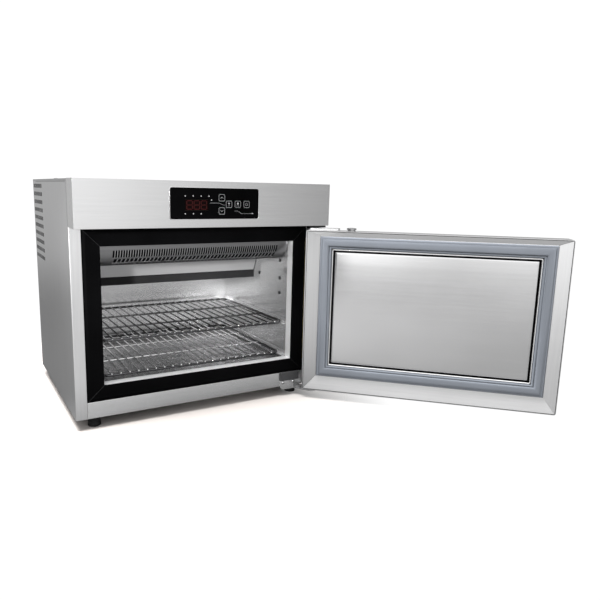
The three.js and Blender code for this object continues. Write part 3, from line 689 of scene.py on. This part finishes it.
SHEET = 1.5 * MM
FOLD = 2.2 * MM
FOLD_STEPS = 6
VENT_ROWS, VENT_COLUMNS = 10, 7
VENT_DROP = 4.7 * MM
VENT_PITCH = 16.8 * MM
VENT_HEIGHT = 8 * MM
VENT_BACK = 11 * MM
VENT_LENGTH = 113 * MM
VENT_OPEN = 0.7
# A vent's dark plate, which paints the shade inside the vent: its depth behind the sheet, and the gap
# round it.
SHADE_NEAR, SHADE_FAR = 0.2 * MM, 1.3 * MM
SHADE_GAP = 0.1 * MM


def side_profile(low, high, outer, inner):
    """Plan of a side sheet from its back edge round the front fold to the post's edge."""
    fold = outer - math.copysign(FOLD, outer)
    start, turn = (0, -QUARTER) if outer > 0 else (math.pi, QUARTER)
    bend = arc(fold, low.y + FOLD, FOLD, start, turn, FOLD_STEPS)
    return [(outer, high.y), *bend, (inner, low.y)]


def side_panel(name, material, shade):
    low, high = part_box(name)
    outer, inner = (low.x, high.x) if abs(low.x) > abs(high.x) else (high.x, low.x)
    profile = side_profile(low, high, outer, inner)
    back = high.y - VENT_BACK
    pitch = VENT_LENGTH / VENT_COLUMNS
    cuts = []
    for column in range(VENT_COLUMNS):
        start = back - column * pitch
        cuts += [start, start - pitch * VENT_OPEN]
    plan = [profile[0]] + [(outer, y) for y in cuts] + profile[1:]
    levels = [low.z]
    for row in reversed(range(VENT_ROWS)):
        top = high.z - VENT_DROP - row * VENT_PITCH
        levels += [top - VENT_HEIGHT, top]
    levels.append(high.z)
    bm = bmesh.new()
    grid = [[bm.verts.new((x, y, z)) for z in levels] for x, y in plan]
    for i in range(len(plan) - 1):
        for j in range(len(levels) - 1):
            is_slot = i % 2 == 1 and i < len(cuts) and j % 2 == 1 and j < len(levels) - 2
            if not is_slot:
                bm.faces.new(cell(grid, i, j))
    made = piece(name + "_sheet", bm, "cabinet", material, "steel_sheet", [name])
    vent_shades(name, outer, cuts, levels, shade)
    facing_out = made.data.polygons[0].normal.x * outer > 0
    thicken(made, SHEET, -1 if facing_out else 1)
    bevel(made, 0.25 * MM, 1, 50)


def vent_shades(name, outer, cuts, levels, material):
    """A dark plate set back in every vent slot, as painted shade inside the vent."""
    near = outer - math.copysign(SHADE_NEAR, outer)
    far = outer - math.copysign(SHADE_FAR, outer)
    bm = bmesh.new()
    for y1, y0 in zip(cuts[::2], cuts[1::2]):
        for z0, z1 in zip(levels[1:-1:2], levels[2:-1:2]):
            outline = box_outline(y0 + SHADE_GAP, y1 - SHADE_GAP, z0 + SHADE_GAP, z1 - SHADE_GAP)
            prism(bm, outline, near, far, sideways)
    piece(name + "_vent_shades", bm, "cabinet", material, "dark_metal")


# ---- Duct ----

GRILLE_SHEET = 0.7 * MM
GRILLE_BLANK = 23 * MM
NOSE_TOP = 7.2 * MM
NOSE_RADIUS = 47 * MM
# Degrees that each row of the curled front faces below level.
NOSE_TURNS = (12, 14, 18, 22, 27, 32, 36, 41, 46, 51, 55, 60)
TALL_SLOTS, TALL_OPEN = 72, 0.78
SLANT_SLOTS, SLANT_OPEN = 44, 0.76
SLANT_SHIFT = 4 * MM
TALL_ROWS, SLANT_ROWS = 5, 4
# The dark sheet behind the slots, painted shade inside the duct.
BACKING_DEPTH = 5 * MM
BACKING_SHEET = 1 * MM


def slot_edges(low, high, count, share):
    """Places of the slots' two edges along a row."""
    pitch = (high - low) / count
    edges = []
    for i in range(count):
        edges += [low + i * pitch, low + (i + share) * pitch]
    return edges


def slanting(first, last, count):
    """Rows of slot edges that lean from the first row to the last, without the first."""
    shares = [step / count for step in range(1, count + 1)]
    return [[a + (b - a) * share for a, b in zip(first, last)] for share in shares]


def nose_profile(low, high, inset):
    """(y, z) points down the duct's front: upright, then curling under."""
    start = math.radians(NOSE_TURNS[0])
    centre_y = low.y + NOSE_RADIUS * math.cos(start)
    centre_z = high.z - NOSE_TOP + NOSE_RADIUS * math.sin(start)
    reach = NOSE_RADIUS - inset
    points = [(low.y + inset, high.z)]
    for turn in map(math.radians, NOSE_TURNS):
        points.append((centre_y - reach * math.cos(turn), centre_z - reach * math.sin(turn)))
    return points


def grille(material, lit_bars, shade):
    """Duct with a curled front: a row of tall slots over a row of slanted ones."""
    low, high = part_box("grille_cover")
    start, end = low.x + GRILLE_BLANK, high.x - GRILLE_BLANK
    tall = slot_edges(start, end, TALL_SLOTS, TALL_OPEN)
    slant = slot_edges(start, end - SLANT_SHIFT, SLANT_SLOTS, SLANT_OPEN)
    lean = [x + SLANT_SHIFT for x in slant]
    slots = [[], []] + [tall] * TALL_ROWS + [lean] + slanting(lean, slant, SLANT_ROWS) + [[]]
    bm = bmesh.new()
    rows = []
    for point, places in zip(nose_profile(low, high, 0), slots):
        rows.append([bm.verts.new((x, *point)) for x in [low.x, *places, high.x]])
    rows.append([bm.verts.new((x, high.y, low.z)) for x in (low.x, high.x)])
    for near, far, first, second in zip(rows, rows[1:], slots, slots[1:] + [[]]):
        if first and len(first) == len(second) and second is not lean:
            for i in range(0, len(near) - 1, 2):
                face = bm.faces.new((near[i], near[i + 1], far[i + 1], far[i]))
                # Bars between slots take the light copy as a painted highlight; the rest of the sheet
                # takes the dark copy as painted shade.
                face.material_index = 1 if 0 < i < len(near) - 2 else 0
        else:
            bm.faces.new([*near, *reversed(far)])
    made = piece("grille_front", bm, "cabinet", [material, lit_bars], "duct_steel", ["grille_cover"])
    thicken(made, GRILLE_SHEET, 0)
    inner = nose_profile(low, high, BACKING_DEPTH)
    section = inner + [(y + BACKING_SHEET, z) for y, z in reversed(inner)]
    bm = bmesh.new()
    prism(bm, section, low.x + BACKING_SHEET, high.x - BACKING_SHEET, sideways)
    piece("duct_shade", bm, "cabinet", shade, "dark_metal")


# ---- Shelves ----

RIM_RADIUS = 2.5 * MM
WIRE_RADIUS = 1.5 * MM
CROSS_RADIUS = 2.0 * MM
SHELF_CORNER = 18 * MM
WIRE_COUNT = 21
# The front end of each wire is pressed down over the rim and takes the bright steel, as a painted
# highlight.
END_DROP = 1.2 * MM
END_LENGTH = 5 * MM
END_RADIUS = 1.9 * MM


def wire_shelf(name, wire, rim, bright):
    """Round wires welded over a rounded rim, with two cross wires under them; the wire ends are
    painted bright as highlights.
    """
    low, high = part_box(name)
    u0, u1 = low.x + RIM_RADIUS, high.x - RIM_RADIUS
    v0, v1 = low.y + RIM_RADIUS, high.y - RIM_RADIUS
    rim_z = low.z + RIM_RADIUS
    bm = bmesh.new()
    loop = rounded(u0, u1, v0, v1, SHELF_CORNER, 8)
    section = ring(0, 0, RIM_RADIUS, 12)
    sweep(bm, loop, section, lambda u, v, h: Vector((u, v, rim_z + h)), material=1)
    inset = SHELF_CORNER + CROSS_RADIUS
    pitch = (u1 - u0 - 2 * inset) / (WIRE_COUNT - 1)
    wire_z = high.z - WIRE_RADIUS
    for i in range(WIRE_COUNT):
        x = u0 + inset + i * pitch
        rod(bm, (x, low.y, wire_z), (x, high.y, wire_z), WIRE_RADIUS)
        # Bright end cap: a painted highlight on the wire's front end.
        rod(bm, (x, low.y, wire_z - END_DROP), (x, low.y + END_LENGTH, wire_z), END_RADIUS, 10, 2)
    for share in (1 / 3, 2 / 3):
        y = v0 + (v1 - v0) * share
        rod(bm, (u0, y, rim_z), (u1, y, rim_z), CROSS_RADIUS)
    piece(name + "_wires", bm, name, [wire, rim, bright], "shelf_wire", [name], smooth=True)


FOOT_TREAD = 2.2 * MM
RIB_DEPTH = 0.7 * MM


def foot(name, material):
    """Rubber foot with a ribbed side and a rounded tread."""
    base, radius, height = post(*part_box(name))
    profile = [(0, 0), (radius - 2 * FOOT_TREAD, 0)]
    profile += arc(radius - FOOT_TREAD, FOOT_TREAD, FOOT_TREAD, -QUARTER, QUARTER, 4)
    for rib in range(3):
        start = height * (0.3 + 0.2 * rib)
        waist = radius - (0.4 + 0.25 * rib) * MM
        profile += [(waist, start), (waist - RIB_DEPTH, start + 0.6 * MM)]
        profile += [(waist - RIB_DEPTH, start + 1.4 * MM), (waist, start + 2.0 * MM)]
    profile += [(radius - 1.6 * MM, height - 0.6 * MM), (radius - 2.4 * MM, height), (0, height)]
    bm = bmesh.new()
    turned(bm, base, (0, 0, 1), profile, 40)
    piece(name + "_rubber", bm, "cabinet", material, "foot_rubber", [name], sharp=50)


# ---- Door pieces ----

RIM_WIDTH = 3.0 * MM
BEAD_WIDTH = 3.2 * MM
BEAD_GAP = 0.05 * MM
PANEL_CORNER = 4 * MM
SEAL_STEPS = 48
SEAL_BASE = 4.2 * MM


def seal_height(share):
    """Height of the seal above its base at a share of its width: flap, bulb, flap."""

    def hump(middle, half, rise, power):
        reach = abs(share - middle) / half
        return rise * (1 - reach**power) ** (1 / power) if reach < 1 else 0.0

    flaps = hump(0.12, 0.11, 1.6 * MM, 2) + hump(0.9, 0.08, 1.4 * MM, 2)
    return flaps + hump(0.5, 0.3, 3.6 * MM, 3)


def gasket(material):
    low, high = shut_box("door_gasket")
    base = high.y - SEAL_BASE
    inner = shut_box("door_inner_panel")[0].x - 0.3 * MM
    width = inner - low.x
    section = [(0, low.y)]
    for step in range(SEAL_STEPS + 1):
        share = step / SEAL_STEPS
        section.append((-width * share, base + seal_height(share)))
    section.append((-width, low.y))
    loop = box_outline(low.x, high.x, low.z, high.z)
    swept("seal_loop", loop, section, "door", material, "seal_grey", ["door_gasket"], sharp=40)


def inner_panel(steel_look, rim_look, bead_look):
    """Polished panel in a thin bright rim, with a black bead between them."""
    low, high = shut_box("door_inner_panel")
    back, top = low.y, high.y
    loop = rounded(low.x, high.x, low.z, high.z, PANEL_CORNER)
    half = RIM_WIDTH / 2
    section = [(0, back), *arc(-half, top - half, half, 0, math.pi, 8), (-RIM_WIDTH, back)]
    swept("door_panel_rim", loop, section, "door", rim_look, "polished_steel", smooth=True)
    inset = RIM_WIDTH + BEAD_WIDTH
    bm = bmesh.new()
    us, vs = (low.x + inset, high.x - inset), (low.z + inset, high.z - inset)
    crowned_panel(bm, us, vs, back, top - 1.8 * MM)
    replaced = ["door_inner_panel"]
    piece("door_mirror_panel", bm, "door", steel_look, "polished_steel", replaced, sharp=30)
    near, far = -RIM_WIDTH - BEAD_GAP, -inset + BEAD_GAP
    bead = [(near, back), (near, top - 3.6 * MM), (-RIM_WIDTH - BEAD_WIDTH / 2, top - 3.0 * MM)]
    bead += [(far, top - 3.6 * MM), (far, back)]
    swept("door_panel_bead", loop, bead, "door", bead_look, "black_plastic", smooth=True)


PANEL_ROLL = 5 * MM
PANEL_DROP = 2.2 * MM
PANEL_RISE = 0.5 * MM


def crowned_panel(bm, us, vs, back, top):
    """Slab whose face rises gently to its middle, with rolled edges."""
    (u0, u1), (v0, v1) = us, vs
    roll = PANEL_ROLL
    inner = [i / 10 for i in range(11)]
    edge = [0.0, 0.15, 0.4, 0.7]

    def places(a, b):
        near = [a + roll * e for e in edge]
        middle = [a + roll + (b - a - 2 * roll) * e for e in inner]
        return near + middle + [b - roll * e for e in reversed(edge)]

    def height(u, v):
        fall = 0.0
        for value, a, b in ((u, u0, u1), (v, v0, v1)):
            reach = min(value - a, b - value)
            if reach < roll:
                fall = max(fall, 1 - math.sqrt(max(0, 1 - (1 - reach / roll) ** 2)))
        bulge = (1 - ((u - u0) / (u1 - u0) * 2 - 1) ** 2) * (1 - ((v - v0) / (v1 - v0) * 2 - 1) ** 2)
        return top + PANEL_RISE * bulge - fall * PANEL_DROP

    columns, lines = places(u0, u1), places(v0, v1)
    grid = [[bm.verts.new((u, height(u, v), v)) for v in lines] for u in columns]
    for i in range(len(columns) - 1):
        for j in range(len(lines) - 1):
            bm.faces.new(cell(grid, i, j))
    border = [line[0] for line in grid] + grid[-1][1:]
    border += [line[-1] for line in grid[-2::-1]] + grid[0][-2:0:-1]
    backs = [bm.verts.new((v.co.x, back, v.co.z)) for v in border]
    join_rows(bm, border, backs, 0)
    bm.faces.new(backs)


BAND_EDGE = 0.8 * MM
BAND_CORNER = 0.5 * MM
BAND_SET_BACK = 0.3 * MM
# Gap between the band and the seal, filled almost wholly by the band's folded edge.
BAND_SEAT = 1.0 * MM
FOLD_NEAR, FOLD_FAR = 0.05 * MM, 0.95 * MM
MITRE_GAP = 0.12 * MM


def band_seam(material):
    """Dark sealed joint between the band and the outer skin, all round the door."""
    low, high = shut_box("door_inner_frame")
    loop = rounded(low.x, high.x, low.z, high.z, BAND_CORNER)
    front = high.y - BAND_SET_BACK
    section = [(-BAND_EDGE, low.y), (-BAND_EDGE, front), (0, front), (0, low.y)]
    swept("door_band_seam", loop, section, "door", material, "breaker_black")


def band_fold(material):
    """Folded edge of the band, in the gap that it leaves round the seal, in bright steel lighter than
    the band's as a painted highlight.
    """
    low, high = shut_box("door_inner_frame")
    seal_low, seal_high = shut_box("door_gasket")
    loop = rounded(seal_low.x, seal_high.x, seal_low.z, seal_high.z, BAND_CORNER)
    front = high.y - BAND_SET_BACK
    section = [(FOLD_NEAR, low.y), (FOLD_NEAR, front), (FOLD_FAR / 2, high.y)]
    section += [(FOLD_FAR, front), (FOLD_FAR, low.y)]
    swept("door_band_fold", loop, section, "door", material, "polished_steel")


def grown_outline(low, high, grow):
    return box_outline(low.x - grow, high.x + grow, low.z - grow, high.z + grow)


def door_band(materials):
    """Four mitred strips round the seal: bottom, hinge side, top and latch side, each in its own tone
    of one band steel, as painted reflection and painted shade.
    """
    low, high = shut_box("door_inner_frame")
    outer = grown_outline(low, high, -BAND_EDGE)
    inner = grown_outline(*shut_box("door_gasket"), BAND_SEAT)
    bm = bmesh.new()
    for side in range(4):
        after = (side + 1) % 4
        corners = [outer[side], outer[after], inner[after], inner[side]]
        strip(bm, corners, low.y, high.y, side)
    made = piece("door_band", bm, "door", materials, "door_steel", ["door_inner_frame"])
    bevel(made, 0.3 * MM, 2, 30)


def strip(bm, corners, back, front, material):
    """One mitred strip, drawn in a little at its two mitred ends."""
    start, end, end_in, start_in = map(Vector, corners)
    run = (end - start).normalized() * MITRE_GAP
    outline = [start + run, end - run, end_in - run, start_in + run]
    prism(bm, [(p.x, p.y) for p in outline], back, front, upright, material)


# ---- Control panel marks ----

# Every mark stands this far out of its face, and as far into it.
PROUD = 0.06 * MM
LINE = 0.32 * MM


def mark_line(bm, path, width, face, closed=False):
    section = box_outline(-width / 2, width / 2, face - PROUD, face + PROUD)
    sweep(bm, path, section, upright, closed)


def mark_shape(bm, outline, face):
    prism(bm, outline, face - PROUD, face + PROUD, upright)


def key_mark(key, icon, material):
    """Thin printed outline and icon on a key's face."""
    low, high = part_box(key)
    u, v = (low.x + high.x) / 2, (low.z + high.z) / 2
    half = (high.x - low.x) / 2 - 0.9 * MM
    bm = bmesh.new()
    loop = rounded(u - half, u + half, v - half, v + half, 2.2 * MM, 4)
    mark_line(bm, loop, LINE * 1.5, low.y, closed=True)
    icon(bm, u, v, low.y)
    piece(key + "_mark", bm, key, material, "panel_gloss")


def chevron(turn):
    def draw(bm, u, v, face):
        reach, rise = 2.6 * MM, 2.2 * MM * turn
        path = [(u - reach, v - rise / 2), (u, v + rise / 2), (u + reach, v - rise / 2)]
        mark_line(bm, path, LINE * 1.6, face)

    return draw


def lamp_icon(bm, u, v, face):
    mark_shape(bm, ring(u, v + 1.4 * MM, 1.9 * MM, 16), face)
    for shift in (-1.6, 1.6):
        mark_shape(bm, ring(u + shift * MM, v - 3 * MM, 0.6 * MM, 10), face)


def heat_icon(bm, u, v, face):
    mark_shape(bm, ring(u, v + 1.4 * MM, 1.5 * MM, 16), face)
    for shift in (-1.4, 1.4):
        path = [(u + shift * MM, v - 3.6 * MM), (u + shift * MM, v - 2 * MM)]
        mark_line(bm, path, LINE * 1.4, face)


def power_icon(bm, u, v, face):
    """A circle that is open at the top, with a bar in the opening."""
    circle = arc(u, v, 2.5 * MM, math.radians(50), math.radians(-280), 10)
    mark_line(bm, circle, LINE * 1.2, face)
    mark_line(bm, [(u, v + 0.5 * MM), (u, v + 3.2 * MM)], LINE * 1.2, face)


ARROW_LENGTH, ARROW_HALF = 3 * MM, 1.4 * MM


def panel_marks(material, lens_material, digit_material):
    """Guide lines, indicator lenses and unlit digits on the panel."""
    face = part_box("control_overlay")[0].y
    window_low, window_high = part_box("display_window")
    raise_low, raise_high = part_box("key_raise")
    mode_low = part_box("key_mode")[0]
    power_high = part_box("key_power")[1]
    bm = bmesh.new()
    # From the display, down between the first two keys, to the row of three.
    top = window_high.z - 6 * MM
    middle = (window_low.z + window_high.z) / 2
    path = [(window_high.x + 3.5 * MM, top), (raise_low.x + 1.5 * MM, top)]
    path += [(raise_high.x - 3 * MM, middle), (mode_low.x - 2 * MM, middle)]
    mark_line(bm, path, LINE, face)
    # Under the row of three, a step down and an arrow to the right.
    upper = mode_low.z - 5.5 * MM
    lower = upper - 4.7 * MM
    run = [(mode_low.x + 18 * MM, upper), (mode_low.x + 25 * MM, upper)]
    run += [(mode_low.x + 32 * MM, lower), (power_high.x + 5 * MM, lower)]
    mark_line(bm, run, LINE, face)
    tip = power_high.x + 8 * MM
    tail = tip - ARROW_LENGTH
    arrow = [(tip, lower), (tail, lower + ARROW_HALF), (tail, lower - ARROW_HALF)]
    mark_shape(bm, arrow, face)
    piece("panel_guide_lines", bm, "cabinet", material, "panel_gloss")
    lenses(window_low, window_high, face, lens_material)
    digits(window_low, window_high, digit_material)


LENS_PITCH = 15.1 * MM
LENS_RADIUS = 1.15 * MM


def lenses(window_low, window_high, face, material):
    places = [(window_high.x + 6.4 * MM, window_high.z - 0.6 * MM)]
    places += [(window_low.x + i * LENS_PITCH, window_high.z + 5.9 * MM) for i in range(4)]
    places += [(window_low.x + i * LENS_PITCH, window_low.z - 5.8 * MM) for i in range(3)]
    bm = bmesh.new()
    for x, z in places:
        profile = [(0, 0), (LENS_RADIUS * 0.7, 0.08 * MM), (LENS_RADIUS, 0.35 * MM)]
        profile += [(LENS_RADIUS, 1.0 * MM), (0, 1.0 * MM)]
        turned(bm, (x, face - 0.2 * MM, z), (0, 1, 0), profile, 16)
    piece("indicator_lenses", bm, "cabinet", material, "display_glass", smooth=True)


DIGIT_COUNT = 3
DIGIT_WIDTH = 10.5 * MM
DIGIT_MARGIN = 1.5 * MM
DIGIT_ROOM = 4.5 * MM
SEGMENT_GAP = 0.4 * MM
SEGMENT_HALF = 0.8 * MM


def digits(low, high, material):
    """Seven-segment figures, every segment there and unlit."""
    gap = SEGMENT_GAP
    height = high.z - low.z - DIGIT_ROOM
    pitch = (high.x - low.x - 2 * DIGIT_MARGIN) / DIGIT_COUNT
    base = low.z + (high.z - low.z - height) / 2
    bm = bmesh.new()
    for place in range(DIGIT_COUNT):
        left = low.x + DIGIT_MARGIN + pitch * place + (pitch - DIGIT_WIDTH) / 2
        right, middle, top = left + DIGIT_WIDTH, base + height / 2, base + height
        for v in (base, middle, top):
            segment(bm, (left + gap, v), (right - gap, v), low.y)
        for u in (left, right):
            segment(bm, (u, base + gap), (u, middle - gap), low.y)
            segment(bm, (u, middle + gap), (u, top - gap), low.y)
    piece("display_digits", bm, "cabinet", material, "display_glass")


def segment(bm, start, end, face):
    """Bar with pointed ends."""
    (u0, v0), (u1, v1) = start, end
    share = SEGMENT_HALF / math.hypot(u1 - u0, v1 - v0)
    du, dv = (u1 - u0) * share, (v1 - v0) * share
    outline = [(u0, v0), (u0 + du + dv, v0 + dv - du), (u1 - du + dv, v1 - dv - du), (u1, v1)]
    outline += [(u1 - du - dv, v1 - dv + du), (u0 + du - dv, v0 + dv + du)]
    mark_shape(bm, outline, face)


# ---- Fittings inside the cavity ----

HOOK_ROWS = (137 * MM, 170 * MM, 209 * MM)
HOOK_FRONT = 41 * MM
HOOK_REAR = 134 * MM
# Where a tab and its slot lie round their spot, along y and z, and how far they stand out.
TAB, TAB_DEPTH = (-4 * MM, 4 * MM, -3.4 * MM, -2.2 * MM), 3.2 * MM
# A slot is a thin dark plate on the wall: painted shade in place of a hole.
SLOT, SLOT_DEPTH = (-4.6 * MM, 4.6 * MM, -2 * MM, 5 * MM), 0.3 * MM
HOOK_SUNK = 0.2 * MM


def wall_hooks(side, steel_look, dark_look):
    """Small punched tabs, each with a dark plate over it as the painted shade of its slot, in a
    column on a side wall.
    """
    low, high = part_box(f"liner_{side}_wall")
    face, inward = (high.x, 1) if side == "left" else (low.x, -1)
    bm = bmesh.new()
    spots = [(low.y + HOOK_FRONT, low.z + row) for row in HOOK_ROWS]
    spots += [(low.y + HOOK_REAR, low.z + HOOK_ROWS[1])]
    for y, z in spots:
        for look, ((y0, y1, z0, z1), depth) in enumerate([(TAB, TAB_DEPTH), (SLOT, SLOT_DEPTH)]):
            outline = box_outline(y + y0, y + y1, z + z0, z + z1)
            near, far = face - inward * HOOK_SUNK, face + inward * depth
            prism(bm, outline, near, far, sideways, look)
    piece(f"{side}_wall_hooks", bm, "cabinet", [steel_look, dark_look], "polished_steel")


# ---- Seams and hinge parts ----


def baffle_end(material):
    """Dark flange down the leaning plate's right end."""
    low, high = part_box("baffle_plate")
    proud, thick = 0.3 * MM, 1.5 * MM
    section = [(low.y - proud, high.z), (low.y + thick, high.z)]
    section += [(high.y, low.z), (high.y - thick - proud, low.z)]
    bm = bmesh.new()
    prism(bm, section, high.x - 1.2 * MM, high.x + 0.2 * MM, sideways)
    piece("baffle_end_flange", bm, "cabinet", material, "dark_metal")


BEZEL_HALF = 0.45 * MM
BEZEL_GAP = 0.05 * MM


def panel_bezel(material):
    """Thin bright frame round the control overlay, a painted highlight along its edge."""
    low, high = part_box("control_overlay")
    loop = rounded(low.x, high.x, low.z, high.z, 3 * MM)
    section = arc(BEZEL_GAP + BEZEL_HALF, low.y, BEZEL_HALF, math.pi, math.pi, 6)
    swept("panel_bezel", loop, section, "cabinet", material, "polished_steel", smooth=True)


def mitres(material):
    """Fine raised joint lines across the corners of the breaker frame."""
    left, right, top, bottom = (
        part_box(f"breaker_strip_{side}") for side in ("left", "right", "top", "bottom")
    )
    front = left[0].y
    bm = bmesh.new()
    for x0, x1 in ((left[0].x, left[1].x), (right[1].x, right[0].x)):
        for z0, z1 in ((top[1].z, top[0].z), (bottom[0].z, bottom[1].z)):
            rod(bm, (x0, front, z0), (x1, front, z1), 0.25 * MM, 8)
    piece("breaker_mitres", bm, "cabinet", material, "breaker_black", smooth=True)


def fascia_corner_shade(material):
    """Thin black strip in the rounded corner at each end of the fascia, painted shade of the crease
    between side sheet and fascia.
    """
    side_low, side_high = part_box("left_side_panel")
    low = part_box("fascia_shell")[0]
    front = side_low.y - 0.2 * MM
    bm = bmesh.new()
    for sign in (-1, 1):
        edge = sign * (abs(side_low.x) - 0.1 * MM)
        tip = sign * (abs(side_low.x) - 2.4 * MM)
        outline = [(edge, front), (edge, front + 1.3 * MM), (tip, front)]
        prism(bm, outline, low.z + 2 * MM, side_high.z - 1 * MM, lying)
    piece("fascia_corner_shade", bm, "cabinet", material, "breaker_black")


def stud(material):
    """Stop stud with a thin neck and a domed head, on top of the door."""
    base, radius, height = post(*shut_box("door_stud"))
    profile = [(0, 0), (radius * 0.8, 0), (radius * 0.8, height * 0.35)]
    profile += [(radius, height * 0.42), (radius, height * 0.8)]
    for angle in angles(QUARTER, 4)[1:]:
        profile.append((radius * math.cos(angle) * 0.96, height * (0.8 + 0.2 * math.sin(angle))))
    profile[-1] = (0, height)
    bm = bmesh.new()
    turned(bm, base, (0, 0, 1), profile, 28)
    piece("door_stop_stud", bm, "door", material, "dark_metal", ["door_stud"], sharp=35)


def screw_head(node, material, painted_shade):
    """Domed screw head with a dark cross for its recess, as painted shade, on a dark ring that is the
    head's painted shadow.
    """
    low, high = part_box(node)
    centre = (low + high) / 2
    radius = (high.x - low.x) / 2
    depth = high.y - low.y
    profile = []
    for angle in angles(QUARTER, 5):
        profile.append((radius * math.sin(angle), depth * 0.75 * (1 - math.cos(angle))))
    profile += [(radius, depth), (0, depth)]
    bm = bmesh.new()
    turned(bm, (centre.x, low.y, centre.z), (0, 1, 0), profile, 24)
    piece(node + "_head", bm, "cabinet", material, "hinge_steel", [node], smooth=True)
    arm, half = radius * 0.5, radius * 0.12
    near, far = low.y - 0.02 * MM, low.y + depth * 0.3
    x, z = centre.x, centre.z
    # Three corners of the cross, turned a quarter at a time.
    corners = [(-arm, -half), (-half, -half), (-half, -arm)]
    outline = []
    for _ in range(4):
        outline += [(x + u, z + v) for u, v in corners]
        corners = [(-v, u) for u, v in corners]
    # The dark cross stands in for the recess, and the ring round the head for its shadow: painted
    # shade.
    bm = bmesh.new()
    prism(bm, outline, near, far, upright)
    prism(bm, ring(x, z, radius * 1.35, 24), high.y - 0.3 * MM, high.y, upright)
    piece(node + "_shadow_ring", bm, "cabinet", painted_shade, "dark_metal")


# ---- Assembly ----


def build(look):
    for side in ("left", "right"):
        side_panel(f"{side}_side_panel", look["upright"], look["shade"])
        wall_hooks(side, look["liner"], look["dark"])
    grille(look["duct"], look["duct_bar_highlight"], look["shade"])
    for shelf in ("upper_shelf", "lower_shelf"):
        wire = look[shelf.replace("shelf", "wire")]
        wire_shelf(shelf, wire, look["rim"], look["bright"])
    for name in FOOT_NAMES:
        foot(name, look["rubber"])
    gasket(look["seal"])
    inner_panel(look["mirror"], look["bright"], look["black"])
    band_fold(look["bright"])
    band_seam(look["dark"])
    door_band([look["band_" + side] for side in ("bottom", "hinge", "top", "latch")])
    icons = (chevron(1), chevron(-1), heat_icon, lamp_icon, power_icon)
    for key, icon in zip(KEY_NAMES, icons):
        key_mark(key, icon, look["print"])
    panel_marks(look["print"], look["lens"], look["digit"])
    fascia_corner_shade(look["black"])
    baffle_end(look["lip"])
    panel_bezel(look["bright"])
    mitres(look["dark"])
    stud(look["stud"])
    for side in ("left", "right"):
        screw_head(f"hinge_screw_{side}", look["bright"], look["shade"])


make_camera()
make_world()
make_floor()
make_lights()
LOOK = make_looks()
paint_nodes(LOOK)
soften_nodes()
build(LOOK)

bpy.context.scene.view_settings.view_transform = "Standard"
